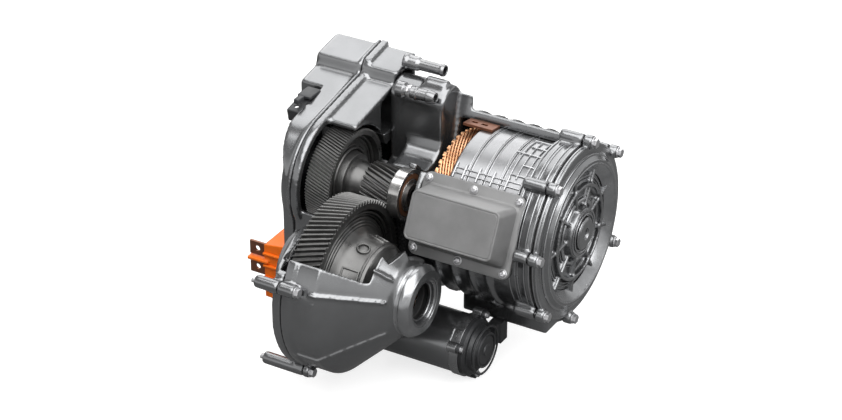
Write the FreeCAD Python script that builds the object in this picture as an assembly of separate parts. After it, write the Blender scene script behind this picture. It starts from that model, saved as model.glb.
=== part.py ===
"""Electric drive unit: a motor, a two-stage helical gearbox and a differential on three parallel axes.

All lengths are in millimetres. X runs along the shafts, Z is up, and the front of the unit faces -Y.
The origin lies on the output axis, at the outer face of the right-hand output collar.
The castings are cut open at the front, so that the gears, the stator and the windings can be seen.
"""
import FreeCAD, Part
import math
import os
from FreeCAD import Vector

# Gear train: module across the teeth's circle, tooth counts and helix
stage1_module = 1.5
input_teeth = 30
reduction_teeth = 100
stage2_module = 2.5
pinion_teeth = 26
ring_teeth = 94
helix_angle = 18.0
pressure_angle = 20.0
backlash = 0.3

# Directions between the three shafts, in degrees from +Y towards +Z
intermediate_direction = 35.0
motor_direction = -24.0

# Places of the gears along X
ring_gear_x = -158.7
ring_gear_width = 44.6
pinion_x = -159.2
pinion_width = 45.6
reduction_x = -226.0
reduction_width = 39.5

# Castings
cover_x = -264.0
cover_top_x = -279.0
parting_x = -240.0
case_end_x = -180.0
case_wall = 7.0
case_gap = 5.5
bead_height = 5.0
bead_width = 12.0
top_slope = 10.4
top_back = (286.0, 223.0)
step_y = 231.0
step_drop = 13.0
box_left_x = -320.0
box_front_y = 184.0
box_floor_z = 128.0
cover_rounding = 13.0
box_rounding = 8.0
window_y = 118.0

# Differential housing: a drum round the ring gear, a cone and a collar
drum_flange_x = -168.0
drum_parting_x = -154.0
drum_band_x = -139.0
drum_radius = 133.0
drum_wall = 7.0
cone_start_x = -103.0
cone_end_x = -28.0
cone_end_radius = 60.0
collar_radius = 50.0
collar_face_radius = 46.7
output_bore_radius = 31.0
left_collar_x = -216.0
left_collar_radius = 52.0
cutaway_angle = 143.0
cutaway_x = -52.0

# Motor
jacket_radius = 118.0
jacket_inner_radius = 110.0
jacket_left_x = -36.0
jacket_right_x = 92.0
housing_radius = 128.0
housing_left_x = -90.0
end_wall = 8.0
collar_left_x = 85.0
cover_seat_x = 124.0
flange_face_x = 132.5
flange_radius = 129.6
rim_face_x = 141.0
rim_radius = 107.4
rail_angle = 73.0
cut_front_angle = 137.0
bore_radius = 75.0
air_gap = 0.8
winding_outer = 106.0
winding_inner = 80.0
winding_left_x = -68.0
winding_right_x = 112.0
shaft_radius = 21.0
slot_count = 48

# Terminal cover on the front of the motor
terminal_tilt = 26.5
terminal_distance = 128.0
terminal_length = 163.0
terminal_height = 121.0
terminal_x = 16.0
terminal_offset = 20.0
terminal_flange = 5.0
terminal_dome = 38.0

# Fits
seat_gap = 0.1
running_gap = 0.05


def on_circle(centre, radius, angle):
    """The (y, z) point at an angle on a circle about a shaft."""
    turn = math.radians(angle)
    return (centre[0] + radius * math.cos(turn), centre[1] + radius * math.sin(turn))


DIFFERENTIAL = (0.0, 0.0)
stage2_distance = stage2_module * (pinion_teeth + ring_teeth) / 2
stage1_distance = stage1_module * (input_teeth + reduction_teeth) / 2
INTERMEDIATE = on_circle(DIFFERENTIAL, stage2_distance, intermediate_direction)
MOTOR = on_circle(INTERMEDIATE, stage1_distance, motor_direction)


# Plain forms along X

def point(x, place):
    return Vector(x, place[0], place[1])


def rod(x0, x1, radius, centre):
    return Part.makeCylinder(radius, x1 - x0, point(x0, centre), Vector(1, 0, 0))


def pipe(x0, x1, outer, inner, centre):
    return rod(x0, x1, outer, centre).cut(rod(x0 - 1, x1 + 1, inner, centre))


def block(x0, x1, y0, y1, z0, z1):
    return Part.makeBox(x1 - x0, y1 - y0, z1 - z0, Vector(x0, y0, z0))


def turned(profile, centre):
    """A solid of revolution about a shaft, from its (x, radius) profile."""
    corners = [Vector(x, centre[0], centre[1] + radius) for x, radius in profile]
    face = Part.Face(Part.makePolygon(corners + corners[:1]))
    return face.revolve(point(0, centre), Vector(1, 0, 0), 360)


def slab(outline, x0, x1):
    """A plate across X with a polygon of (y, z) corners."""
    corners = [point(x0, place) for place in outline]
    face = Part.Face(Part.makePolygon(corners + corners[:1]))
    return face.extrude(Vector(x1 - x0, 0, 0))


def sector(centre, start, end, radius, x0, x1):
    """A pie slice about a shaft, as a tool for cutting a casting open."""
    steps = max(2, int((end - start) / 30) + 1)
    rim = [on_circle(centre, radius, start + (end - start) * i / steps) for i in range(steps + 1)]
    return slab([centre] + rim, x0, x1)


def fused(shapes):
    whole = shapes[0]
    if len(shapes) > 1:
        whole = whole.multiFuse(shapes[1:]).removeSplitter()
    return whole


def around(shape, count, centre, start=0.0, span=360.0):
    """Copies of a shape turned about a shaft at equal steps."""
    copies = []
    for i in range(count):
        copy = shape.copy()
        copy.rotate(point(0, centre), Vector(1, 0, 0), start + span * i / count)
        copies.append(copy)
    return copies


def rounded(solid, radius, wanted):
    """The solid with the edges that wanted() picks rounded."""
    return solid.makeFillet(radius, [edge for edge in solid.Edges if wanted(edge)])


def hex_screw(x0, x1, radius, centre, head_side=1):
    """A hexagon-headed screw along X: shank from x0 to x1 and its flanged head past the head side."""
    seat = x1 if head_side > 0 else x0
    flange = rod(seat, seat + 1.5, radius * 2.0, centre)
    corners = [on_circle(centre, radius * 1.75, 60 * i) for i in range(6)]
    head = slab(corners, seat + 1.5, seat + 1.5 + radius * 1.3)
    if head_side < 0:
        flange = rod(seat - 1.5, seat, radius * 2.0, centre)
        head = slab(corners, seat - 1.5 - radius * 1.3, seat - 1.5)
    return fused([rod(x0, x1, radius, centre), flange, head])


# Gears

def involute(angle):
    return math.tan(angle) - angle


def gear_outline(x, module, teeth, first_tooth, steps, centre):
    """Corners of involute teeth across X, from +Y towards +Z; the flanks are chords of the true curve."""
    pitch = module * teeth / 2
    base = pitch * math.cos(math.radians(pressure_angle))
    root = pitch - 1.25 * module
    tip = pitch + module
    lowest = max(root, base)
    radii = [lowest + (tip - lowest) * i / steps for i in range(steps + 1)]
    if lowest > root:
        radii = [root] + radii
    half_pitch = math.pi / (2 * teeth) - backlash / (4 * pitch) + involute(math.radians(pressure_angle))

    def half_width(radius):
        return half_pitch - involute(math.acos(base / max(radius, base)))

    corners = []
    for i in range(teeth):
        middle = math.radians(first_tooth) + 2 * math.pi * i / teeth
        rising = [(radius, middle - half_width(radius)) for radius in radii]
        falling = [(radius, middle + half_width(radius)) for radius in reversed(radii)]
        corners += [on_circle(centre, radius, math.degrees(angle)) for radius, angle in rising + falling]
    return [point(x, place) for place in corners]


def inner_halves(a, b, c, d):
    """The two triangles of a twisted quad a-b-d-c, split along the diagonal that lies inside the tooth."""
    along = b - a
    lift = a + d - b - c
    if along.z * lift.y - along.y * lift.z < 0:
        return [(a, b, d), (a, d, c)]
    return [(a, b, c), (b, d, c)]


def helical_gear(x0, width, module, teeth, first_tooth, hand, centre, steps=1, spans=2):
    """A helical gear; hand is +1 where its teeth turn from +Y towards +Z along +X."""
    pitch = module * teeth / 2
    twist = hand * math.degrees(width * math.tan(math.radians(helix_angle)) / pitch)
    outlines = []
    for i in range(spans + 1):
        share = i / spans
        angle = first_tooth + twist * (share - 0.5)
        outlines.append(gear_outline(x0 + width * share, module, teeth, angle, steps, centre))
    faces = [Part.Face(Part.makePolygon(ends + ends[:1])) for ends in (outlines[0], outlines[-1])]
    count = len(outlines[0])
    for near, far in zip(outlines, outlines[1:]):
        for i in range(count):
            following = (i + 1) % count
            for corners in inner_halves(near[i], near[following], far[i], far[following]):
                faces.append(Part.Face(Part.makePolygon(list(corners) + [corners[0]])))
    shell = Part.makeShell(faces)
    shell.sewShape()
    return Part.makeSolid(shell)


# Bearings

def bearing(x0, x1, bore, outer, centre, rollers):
    """Outer ring, inner ring and rollers of a cylindrical roller bearing."""
    wall = (outer - bore) * 0.28
    track_out = outer - wall
    track_in = bore + wall
    lip = (x1 - x0) * 0.12
    outer_ring = pipe(x0, x1, outer, track_out, centre)
    inner_ring = pipe(x0, x1, track_in, bore, centre)
    radius = (track_out - track_in) / 2 - running_gap
    middle = (track_out + track_in) / 2
    roller = rod(x0 + lip, x1 - lip, radius, on_circle(centre, middle, 0))
    return outer_ring, inner_ring, around(roller, rollers, centre)


pieces = {}


def node(name, *solids):
    """Name a piece; like pieces share a node as a group of solids."""
    found = []
    for solid in solids:
        found += solid.Solids
    pieces[name] = found[0] if len(found) == 1 else Part.makeCompound(found)


def largest(shape):
    """The main solid of a shape that a cut may have left in parts."""
    return max(shape.Solids, key=lambda solid: solid.Volume)


# Gearbox castings

def case_outline(offset):
    """Corners and arc middles of the gear case across X, grown outwards by an offset."""
    radius_i = case_radius + offset
    back_y = top_back[0] + offset
    radius_m = back_y - MOTOR[0]
    slope = math.tan(math.radians(top_slope))
    rise = offset / math.cos(math.radians(top_slope))
    corner = (back_y, top_back[1] + rise + offset * slope)
    step_top = (step_y + offset, corner[1] - (back_y - step_y - offset) * slope)
    top_angle = 90 + top_slope
    tangent = on_circle(INTERMEDIATE, radius_i, top_angle)
    foot_y = step_y - 5 + offset
    step_low = (foot_y, tangent[1] + (foot_y - tangent[0]) * slope)
    lean = math.degrees(math.acos((radius_i - radius_m) / stage1_distance))
    low_angle = motor_direction - lean
    edges = [
        Part.LineSegment(point(0, corner), point(0, step_top)),
        Part.LineSegment(point(0, step_top), point(0, step_low)),
        Part.LineSegment(point(0, step_low), point(0, tangent)),
        Part.Arc(
            point(0, tangent),
            point(0, on_circle(INTERMEDIATE, radius_i, 180)),
            point(0, on_circle(INTERMEDIATE, radius_i, low_angle)),
        ),
        Part.LineSegment(
            point(0, on_circle(INTERMEDIATE, radius_i, low_angle)),
            point(0, on_circle(MOTOR, radius_m, low_angle)),
        ),
        Part.Arc(
            point(0, on_circle(MOTOR, radius_m, low_angle)),
            point(0, on_circle(MOTOR, radius_m, -45)),
            point(0, on_circle(MOTOR, radius_m, 0)),
        ),
        Part.LineSegment(point(0, on_circle(MOTOR, radius_m, 0)), point(0, corner)),
    ]
    return Part.Face(Part.Wire([edge.toShape() for edge in edges]))


def case_solid(x0, x1, offset=0.0):
    face = case_outline(offset)
    face.translate(Vector(x0, 0, 0))
    return face.extrude(Vector(x1 - x0, 0, 0))


def case_cavity(x0, x1):
    """Room for the reduction gear, for the input pinion and for the services above them."""
    gear_room = rod(x0, x1, reduction_tip + case_gap, INTERMEDIATE)
    pinion_room = rod(x0, x1, input_room_radius, MOTOR)
    return fused([gear_room, pinion_room, slab(services_room(), x0, x1)])


def slope_height(y):
    """Height of the lower part of the sloping top at a depth y."""
    tangent = on_circle(INTERMEDIATE, case_radius, 90 + top_slope)
    return tangent[1] + (y - tangent[0]) * math.tan(math.radians(top_slope))


def services_room():
    """The room under the two steps of the sloping top, across X."""
    front, back = box_front_y + case_wall, top_back[0] - case_wall
    step = step_y + case_wall
    roof = top_back[1] - 1.6 * case_wall
    slope = math.tan(math.radians(top_slope))
    return [
        (back, box_floor_z), (back, roof), (step, roof - (back - step) * slope),
        (step, slope_height(step) - 1.3 * case_wall), (front, slope_height(front) - 1.3 * case_wall),
        (front, box_floor_z),
    ]


reduction_tip = stage1_module * (reduction_teeth / 2 + 1)
input_tip = stage1_module * (input_teeth / 2 + 1)
pinion_tip = stage2_module * (pinion_teeth / 2 + 1)
ring_tip = stage2_module * (ring_teeth / 2 + 1)
input_room_radius = 62.0
case_radius = reduction_tip + case_gap + case_wall

small_bearing = {"x0": -256.0, "x1": -241.0, "bore": 15.0, "outer": 31.0}
pinion_bearing = {"x0": -111.6, "x1": -94.8, "bore": 18.0, "outer": 38.0}
rotor_left_bearing = {"x0": -88.0, "x1": -74.0, "bore": 20.0, "outer": 36.0}
rotor_right_bearing = {"x0": 108.0, "x1": 121.0, "bore": 17.0, "outer": 33.0}
diff_left_bearing = {"x0": -196.0, "x1": -178.0, "bore": 28.0, "outer": 44.0}
diff_right_bearing = {"x0": -48.0, "x1": -32.0, "bore": 28.0, "outer": 44.0}


def seat(bearing_size, centre, lead=0.0, tail=0.0):
    """The bore that a bearing's outer ring sits in, with room before and after it."""
    return rod(
        bearing_size["x0"] - lead, bearing_size["x1"] + tail, bearing_size["outer"] + seat_gap, centre
    )


def make_gearbox_cover():
    body = rounded(case_solid(cover_x, parting_x), cover_rounding, lambda edge: edge.BoundBox.XMax < cover_x + 0.01)
    profile = [(cover_top_x, 400), (cover_top_x, 168), (cover_x + 12, 105), (cover_x + 12, 400)]
    brow = Part.Face(Part.makePolygon([Vector(x, -200, z) for x, z in profile + profile[:1]]))
    brow = brow.extrude(Vector(0, 700, 0)).common(case_solid(cover_top_x - 1, cover_x + 13))
    top = case_solid(box_left_x, parting_x)
    top = top.cut(block(box_left_x - 1, parting_x + 1, -200, box_front_y, -200, 400))
    top = top.cut(block(box_left_x - 1, parting_x + 1, -200, 400, -200, box_floor_z - case_wall))
    top = rounded(top, box_rounding, lambda edge: edge.BoundBox.XMax < box_left_x + 0.01)
    flange = case_solid(parting_x - bead_width / 2, parting_x, bead_height)
    body = fused([body, brow, slab(skirt_outline(), cover_x + 4, parting_x), top, flange])
    body = body.cut(rod(cover_x + case_wall, cover_x + 22, reduction_tip - 10, INTERMEDIATE))
    body = body.cut(rod(cover_x + case_wall, cover_x + 22, input_room_radius - 12, MOTOR))
    body = body.cut(case_cavity(cover_x + 21, parting_x + 1))
    body = body.cut(slab(services_room(), box_left_x + case_wall, parting_x))
    for centre in (INTERMEDIATE, MOTOR):
        body = body.fuse(
            rod(cover_x + 2, small_bearing["x1"], small_bearing["outer"] + case_wall, centre)
        )
        body = body.cut(seat(small_bearing, centre, tail=1.0))
    node("gearbox_cover", body.removeSplitter())


def skirt_outline():
    """The case's wall in front of the gear, carried straight down to the differential housing."""
    front = INTERMEDIATE[0] - case_radius + 5
    low = hv_z1 + 1
    return [(front, 92), (front - 1, low), (front + 90, low), (front + 90, 40)]


def make_gearbox_housing():
    body = case_solid(parting_x, case_end_x)
    flange = case_solid(parting_x, parting_x + bead_width, bead_height)
    left_cone = turned(
        [
            (left_collar_x, 0), (left_collar_x, left_collar_radius), (left_collar_x + 9, left_collar_radius + 3),
            (-194, 76), (-176, 120), (drum_flange_x, drum_radius - 4), (drum_flange_x, drum_radius + 3),
            (drum_parting_x, drum_radius + 3), (drum_parting_x, 0),
        ],
        DIFFERENTIAL,
    )
    shoulder = slab([(34, 26), (12, 26), (-22, 18), (-34, 4), (-34, -40), (90, -40), (90, 26)], parting_x, -180)
    pad = block(hv_pad_x, drum_flange_x, hv_y0, hv_y1, hv_z0, hv_z1)
    hollow = block(hv_pad_x - 1, -190, hv_y0 + 8, hv_y1 - 8, hv_z0 + 8, hv_z1 - 8)
    body = fused([body, flange, slab(skirt_outline(), parting_x, -178), shoulder, pad])
    body = body.cut(hollow).fuse(left_cone)
    for place in long_bolt_places:
        x0 = boss_starts[place]
        body = body.fuse(rod(x0, drum_parting_x, boss_radius, place))
    body = body.cut(case_cavity(parting_x - 1, case_end_x + 1))
    drum_room = turned(
        [
            (-200, 0), (-200, 46), (-188, 66), (-171, 112), (-166, drum_radius - drum_wall),
            (drum_parting_x + 1, drum_radius - drum_wall), (drum_parting_x + 1, 0),
        ],
        DIFFERENTIAL,
    )
    body = body.cut(drum_room).cut(rod(case_end_x - 10, drum_parting_x + 1, pinion_tip + 4, INTERMEDIATE))
    hub = pipe(
        -204, diff_left_bearing["x1"], diff_left_bearing["outer"] + case_wall, output_bore_radius, DIFFERENTIAL
    )
    body = body.fuse(hub).cut(seat(diff_left_bearing, DIFFERENTIAL, tail=1.0))
    body = body.cut(rod(left_collar_x - 1, -196, output_bore_radius, DIFFERENTIAL))
    body = body.cut(rod(parting_x - 1, left_collar_x + seal_width, seal_radius + seat_gap, DIFFERENTIAL))
    body = body.cut(block(parting_x + bead_width, case_end_x + 60, -300, window_y, 62, 300))
    body = body.cut(sector(DIFFERENTIAL, 35, cutaway_angle, 320, drum_flange_x - 14, drum_parting_x + 1))
    for place in long_bolt_places:
        body = body.cut(rod(boss_starts[place] - 5, drum_parting_x + 1, long_bolt_radius + seat_gap, place))
    node("gearbox_housing", body.removeSplitter())


seal_radius = 42.0
seal_width = 9.0
right_seal_x = -33.0
right_seal_radius = 38.0
right_lip_radius = 26.0
hv_pad_x = -250.0
hv_y0, hv_y1 = 44.0, 118.0
hv_z0, hv_z1 = -112.0, -11.0
long_bolt_radius = 4.0
long_bolt_places = [on_circle(DIFFERENTIAL, 142, angle) for angle in (160, -122, -70)]
boss_radius = 9.5
boss_starts = dict(zip(long_bolt_places, (-192.0, -222.0, -205.0)))
boss_ends = dict(zip(long_bolt_places, (-128.0, -144.0, -128.0)))


def cone_radius(x):
    share = (x - cone_start_x) / (cone_end_x - cone_start_x)
    return drum_radius + (cone_end_radius - drum_radius) * share


def make_differential_housing():
    outer = turned(
        [
            (drum_parting_x, 0), (drum_parting_x, drum_radius + 3), (drum_band_x, drum_radius + 3),
            (drum_band_x, drum_radius), (cone_start_x, drum_radius), (cone_end_x, cone_end_radius),
            (cone_end_x + 6, collar_radius), (-14, collar_radius), (-12, collar_radius + 3),
            (-8, collar_radius + 3), (0, collar_face_radius), (0, 0),
        ],
        DIFFERENTIAL,
    )
    barrel = rod(pump_x0, pump_flange_x, pump_radius, PUMP)
    outer = outer.fuse(barrel)
    for angle, start in ((160, drum_band_x), (-152, drum_band_x), (129, cone_end_x - 26)):
        outer = outer.fuse(cone_rib(angle, start))
    for place in long_bolt_places:
        outer = outer.fuse(rod(drum_parting_x, boss_ends[place], boss_radius, place))
    room = turned(
        [
            (drum_parting_x - 1, 0), (drum_parting_x - 1, drum_radius - drum_wall),
            (cone_start_x, drum_radius - drum_wall), (-52, 76), (-52, 40), (-52, 0),
        ],
        DIFFERENTIAL,
    )
    body = outer.cut(room)
    body = body.cut(rod(-60, 1, output_bore_radius, DIFFERENTIAL))
    body = body.cut(seat(diff_right_bearing, DIFFERENTIAL, lead=12))
    body = body.cut(rod(right_seal_x, diff_right_bearing["x1"] + 23, right_seal_radius + seat_gap, DIFFERENTIAL))
    body = body.cut(rod(pump_x0 + 12, pump_flange_x + 1, pump_radius - 6, PUMP))
    body = body.cut(sector(DIFFERENTIAL, 20, cutaway_angle, 320, drum_parting_x - 1, cutaway_x))
    for place in long_bolt_places:
        body = body.cut(rod(drum_parting_x - 1, boss_ends[place] + 5, long_bolt_radius + seat_gap, place))
        body = body.cut(rod(boss_ends[place], boss_ends[place] + 16, boss_radius, place))
    body = body.cut(terminal_envelope())
    node("differential_housing", body.removeSplitter())


def cone_rib(angle, start):
    """A thin web that follows the cone from a start along X and stands proud of it."""
    height, half_width = 5.0, 2.0
    profile = [(start, cone_radius(max(start, cone_start_x)) - 3)]
    if start < cone_start_x:
        profile += [(start, drum_radius + height), (cone_start_x, drum_radius + height)]
    else:
        profile += [(start, cone_radius(start) + height)]
    profile += [(cone_end_x, cone_end_radius + height), (cone_end_x, cone_end_radius - 8)]
    corners = [Vector(x, radius, -half_width) for x, radius in profile]
    web = Part.Face(Part.makePolygon(corners + corners[:1])).extrude(Vector(0, 0, 2 * half_width))
    web.rotate(Vector(0, 0, 0), Vector(1, 0, 0), angle)
    return web


PUMP = (97.0, -119.0)
pump_radius = 44.0
pump_x0 = -118.0
pump_flange_x = 10.0


def make_output_seals():
    left = pipe(left_collar_x, left_collar_x + seal_width, seal_radius, output_bore_radius - 1, DIFFERENTIAL)
    right = pipe(right_seal_x + 8, right_seal_x + 8 + seal_width, right_seal_radius, right_lip_radius, DIFFERENTIAL)
    node("output_seals", left, right)


# Intermediate shaft

def make_intermediate():
    pinion = helical_gear(
        pinion_x, pinion_width, stage2_module, pinion_teeth, pinion_phase, 1, INTERMEDIATE, steps=2, spans=5
    )
    pinion_end = pinion_x + pinion_width
    left, right = small_bearing, pinion_bearing
    profile = [
        (left["x0"], 0), (left["x0"], left["bore"] - seat_gap), (left["x1"], left["bore"] - seat_gap),
        (left["x1"], 19), (reduction_x - 4, 19), (reduction_x - 4, gear_seat_radius - seat_gap),
        (reduction_end, gear_seat_radius - seat_gap), (reduction_end, 31), (reduction_end + 8, 30),
        (pinion_x - 4, 26), (pinion_end + 1, 26), (pinion_end + 1, 22), (right["x0"], 22),
        (right["x0"], right["bore"] - seat_gap), (right["x1"] + 4, right["bore"] - seat_gap), (right["x1"] + 4, 0),
    ]
    shaft = turned(profile, INTERMEDIATE).fuse(pinion)
    shaft = shaft.cut(rod(right["x1"] - 20, right["x1"] + 5, 9, INTERMEDIATE))
    node("intermediate_shaft", shaft)

    gear = helical_gear(
        reduction_x, reduction_width, stage1_module, reduction_teeth, reduction_phase, 1, INTERMEDIATE
    )
    gear = gear.cut(rod(reduction_x - 1, reduction_end + 1, gear_seat_radius, INTERMEDIATE))
    for x0, x1 in ((reduction_x - 1, reduction_x + 13), (reduction_end - 13, reduction_end + 1)):
        recess = turned([(x0, 38), (x0, 67), (x1, 65), (x1, 42)] if x0 < reduction_x
                        else [(x0, 42), (x0, 65), (x1, 67), (x1, 38)], INTERMEDIATE)
        gear = gear.cut(recess)
    node("intermediate_gear", gear)


gear_seat_radius = 24.0
reduction_end = reduction_x + reduction_width
ring_end = ring_gear_x + ring_gear_width

# Tooth phases: each mate has a gap where the other has a tooth, at mid-length on the line of centres
reduction_middle = reduction_x + reduction_width / 2
pinion_middle = pinion_x + pinion_width / 2
ring_middle = ring_gear_x + ring_gear_width / 2
reduction_phase = motor_direction
input_phase = motor_direction + 180.0 + 180.0 / input_teeth
pinion_phase = intermediate_direction + 180.0
ring_phase = intermediate_direction + 180.0 / ring_teeth


def make_bearings():
    sets = [
        ("intermediate", [(small_bearing, INTERMEDIATE, 10), (pinion_bearing, INTERMEDIATE, 14)]),
        ("rotor", [(small_bearing, MOTOR, 10), (rotor_left_bearing, MOTOR, 10), (rotor_right_bearing, MOTOR, 10)]),
        ("differential", [(diff_left_bearing, DIFFERENTIAL, 14), (diff_right_bearing, DIFFERENTIAL, 14)]),
    ]
    for name, places in sets:
        outers, inners, rollers = [], [], []
        for size, centre, count in places:
            outer, inner, turning = bearing(
                size["x0"], size["x1"], size["bore"], size["outer"], centre, count
            )
            outers.append(outer)
            inners.append(inner)
            rollers += turning
        node(name + "_bearing_outer_rings", *outers)
        node(name + "_bearing_inner_rings", *inners)
        node(name + "_bearing_rollers", *rollers)


# Differential

side_teeth = 14
planet_teeth = 10
bevel_module = 4.5
bevel_centre_x = -98.0
pin_angle = 100.0
pin_radius = 9.0
carrier_radius = 62.0
sphere_radius = 40.0
bevel_play = 0.6


def bevel_gear(teeth, mate_teeth, phase):
    """A straight bevel gear whose apex is the origin and whose axis is +X."""
    cone = math.atan2(teeth, mate_teeth)
    slant = bevel_module * math.hypot(teeth, mate_teeth) / 2
    tip_cone = cone + math.atan2(0.75 * bevel_module, slant)
    root_cone = cone - math.atan2(1.05 * bevel_module, slant)
    pitch = bevel_module * teeth / 2
    half_pitch = math.pi / (2 * teeth) - bevel_play / pitch
    flare = math.tan(math.radians(22.0)) / pitch

    def outline(apex_distance):
        corners = []
        for i in range(teeth):
            middle = math.radians(phase) + 2 * math.pi * i / teeth
            root_half = half_pitch + flare * 1.05 * bevel_module
            tip_half = half_pitch - flare * 0.75 * bevel_module
            root = apex_distance * math.tan(root_cone)
            tip = apex_distance * math.tan(tip_cone)
            for radius, turn in ((root, -root_half), (tip, -tip_half), (tip, tip_half), (root, root_half)):
                angle = middle + turn
                corners.append(Vector(apex_distance, radius * math.cos(angle), radius * math.sin(angle)))
        return Part.makePolygon(corners + corners[:1])

    axial = slant * math.cos(cone)
    toothed = Part.makeLoft([outline(axial * 0.6), outline(axial * 1.15)], True, True)
    return toothed.common(Part.makeSphere(sphere_radius - 1.5))


def make_differential():
    centre = Vector(bevel_centre_x, 0, 0)
    left, right = diff_left_bearing, diff_right_bearing
    profile = [
        (left["x0"], 0), (left["x0"], left["bore"] - seat_gap), (left["x1"], left["bore"] - seat_gap),
        (left["x1"], 34), (left["x1"] + 6, 60), (web_x0 - 14, 66), (web_x0, spigot_radius - seat_gap),
        (web_x1, spigot_radius - seat_gap), (web_x1, flange_seat_radius), (web_x1 + 9, flange_seat_radius),
        (web_x1 + 12, carrier_radius + 3), (-70, carrier_radius), (right["x0"] - 6, 36), (right["x0"], 34),
        (right["x0"], right["bore"] - seat_gap), (right["x1"], right["bore"] - seat_gap), (right["x1"], 0),
    ]
    carrier = turned(profile, DIFFERENTIAL)
    carrier = carrier.cut(Part.makeSphere(sphere_radius, centre))
    carrier = carrier.cut(rod(left["x0"] - 1, right["x1"] + 1, hub_radius + 0.3, DIFFERENTIAL))
    window = block(-24, 24, -carrier_radius - 5, carrier_radius + 5, -30, 30)
    window.rotate(Vector(0, 0, 0), Vector(1, 0, 0), pin_angle - 90)
    window.translate(centre)
    carrier = carrier.cut(window)
    pin_hole = Part.makeCylinder(pin_radius + seat_gap, 4 * carrier_radius, Vector(0, -2 * carrier_radius, 0), Vector(0, 1, 0))
    carrier = carrier.cut(place_on_pin(pin_hole))
    for place in ring_bolt_places():
        carrier = carrier.cut(rod(web_x1 - 1, web_x1 + 8, 4 + seat_gap, place))
    node("differential_carrier", carrier)

    pin = Part.makeCylinder(pin_radius, 2 * carrier_radius - 2, Vector(0, 1 - carrier_radius, 0), Vector(0, 1, 0))
    node("differential_pin", place_on_pin(pin))

    hub = Part.makeCylinder(hub_radius, 17.5, Vector(20, 0, 0), Vector(1, 0, 0))
    spline = Part.makeCylinder(spline_radius, 60, Vector(0, 0, 0), Vector(1, 0, 0))
    for name, side in (("side_gear_right", 0), ("side_gear_left", 180)):
        gear = bevel_gear(side_teeth, planet_teeth, 180 / side_teeth).fuse(hub).cut(spline)
        gear.rotate(Vector(0, 0, 0), Vector(1, 0, 0), pin_angle)
        if side:
            gear.rotate(Vector(0, 0, 0), pin_vector(), 180)
        gear.translate(centre)
        node(name, gear)
    for name, angle in (("planet_gear_upper", pin_angle), ("planet_gear_lower", pin_angle + 180)):
        gear = bevel_gear(planet_teeth, side_teeth, 0)
        gear = gear.cut(Part.makeCylinder(pin_radius + running_gap, 80, Vector(0, 0, 0), Vector(1, 0, 0)))
        gear.rotate(Vector(0, 0, 0), Vector(0, 0, 1), 90)
        gear.rotate(Vector(0, 0, 0), Vector(1, 0, 0), angle)
        gear.translate(centre)
        node(name, gear)

    ring = helical_gear(ring_gear_x, ring_gear_width, stage2_module, ring_teeth, ring_phase, -1, DIFFERENTIAL)
    ring = ring.cut(rod(ring_gear_x - 1, ring_end + 1, spigot_radius, DIFFERENTIAL))
    ring = ring.cut(turned([(ring_gear_x - 1, 60), (ring_gear_x - 1, 105), (web_x0, 102), (web_x0, 60)], DIFFERENTIAL))
    ring = ring.cut(turned([(web_x1, 60), (web_x1, 102), (ring_end + 1, 106), (ring_end + 1, 60)], DIFFERENTIAL))
    for place in ring_bolt_places():
        ring = ring.cut(rod(web_x0 - 1, web_x1 + 1, 4 + seat_gap, place))
    node("ring_gear", ring)
    node("ring_gear_bolts", *[hex_screw(web_x0, web_x1 + 7, 4, place, -1) for place in ring_bolt_places()])


web_x0 = -144.0
web_x1 = -132.0
spigot_radius = 70.0
flange_seat_radius = 94.0
hub_radius = 22.0
spline_radius = 13.5


def ring_bolt_places():
    return [on_circle(DIFFERENTIAL, 84, 36 * i) for i in range(10)]


def pin_vector():
    along = on_circle((0, 0), 1, pin_angle)
    return Vector(0, along[0], along[1])


def place_on_pin(solid):
    """Turn a solid from +Y onto the pin and move it to the differential's centre."""
    solid.rotate(Vector(0, 0, 0), Vector(1, 0, 0), pin_angle)
    solid.translate(Vector(bevel_centre_x, 0, 0))
    return solid


# Motor

boss_angles = (35.0, 78.0, 127.0, 171.0, 218.0, 262.0, 327.0)
long_boss_angles = (78.0, 127.0)
boss_circle = 136.0
cover_bolt_radius = 4.0
stack_left_x = jacket_left_x
stack_right_x = 88.0
tunnel_radius = 38.0
tunnel_bore = 27.0
rear_wall_y = 210.0
rear_outline = [
    (210, -20), (210, 189), (213, 196), (222, 203), (236, 208), (250, 208), (258, 201), (262, 188), (262, -20),
]
rear_hump = [(220, 197), (230, 212), (238, 217), (246, 216), (246, 200)]
rear_cap = [(222, 150), (223, 196), (236, 206), (250, 206), (258, 196), (258, 150)]
shelf_outline = [(161, 92), (161, 104), (188, 109), (203, 118), (210, 132), (214, 132), (214, 92)]
lower_rail = (152.0, -72.0)
foot_y0, foot_y1 = 146.0, 204.0
foot_bottom_z = -97.0


def motor_cut():
    """The opening at the top front of the motor, from its left wall to the end collar."""
    reach = 2 * housing_radius
    return sector(MOTOR, rail_angle, cut_front_angle, reach, housing_left_x - 1, collar_left_x)


def in_terminal_frame(solid):
    """Move a solid from the terminal cover's own axes: x along the motor, y up the cover, z outwards."""
    solid.rotate(Vector(0, 0, 0), Vector(1, 0, 0), 90 - terminal_tilt)
    lean = math.radians(terminal_tilt)
    outwards = Vector(0, -math.cos(lean), math.sin(lean))
    upwards = Vector(0, math.sin(lean), math.cos(lean))
    base = point(terminal_x, MOTOR) + outwards * terminal_distance - upwards * terminal_offset
    solid.translate(base)
    return solid


def rounded_box(length, height, z0, z1, corner, x=0.0):
    """A box about the frame's own centre with its four upright edges rounded."""
    box = Part.makeBox(length, height, z1 - z0, Vector(x - length / 2, -height / 2, z0))
    upright = [edge for edge in box.Edges if abs(edge.BoundBox.ZMax - edge.BoundBox.ZMin - (z1 - z0)) < 0.01
               and edge.BoundBox.XMax - edge.BoundBox.XMin < 0.01 and edge.BoundBox.YMax - edge.BoundBox.YMin < 0.01]
    return box.makeFillet(corner, upright)


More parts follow.
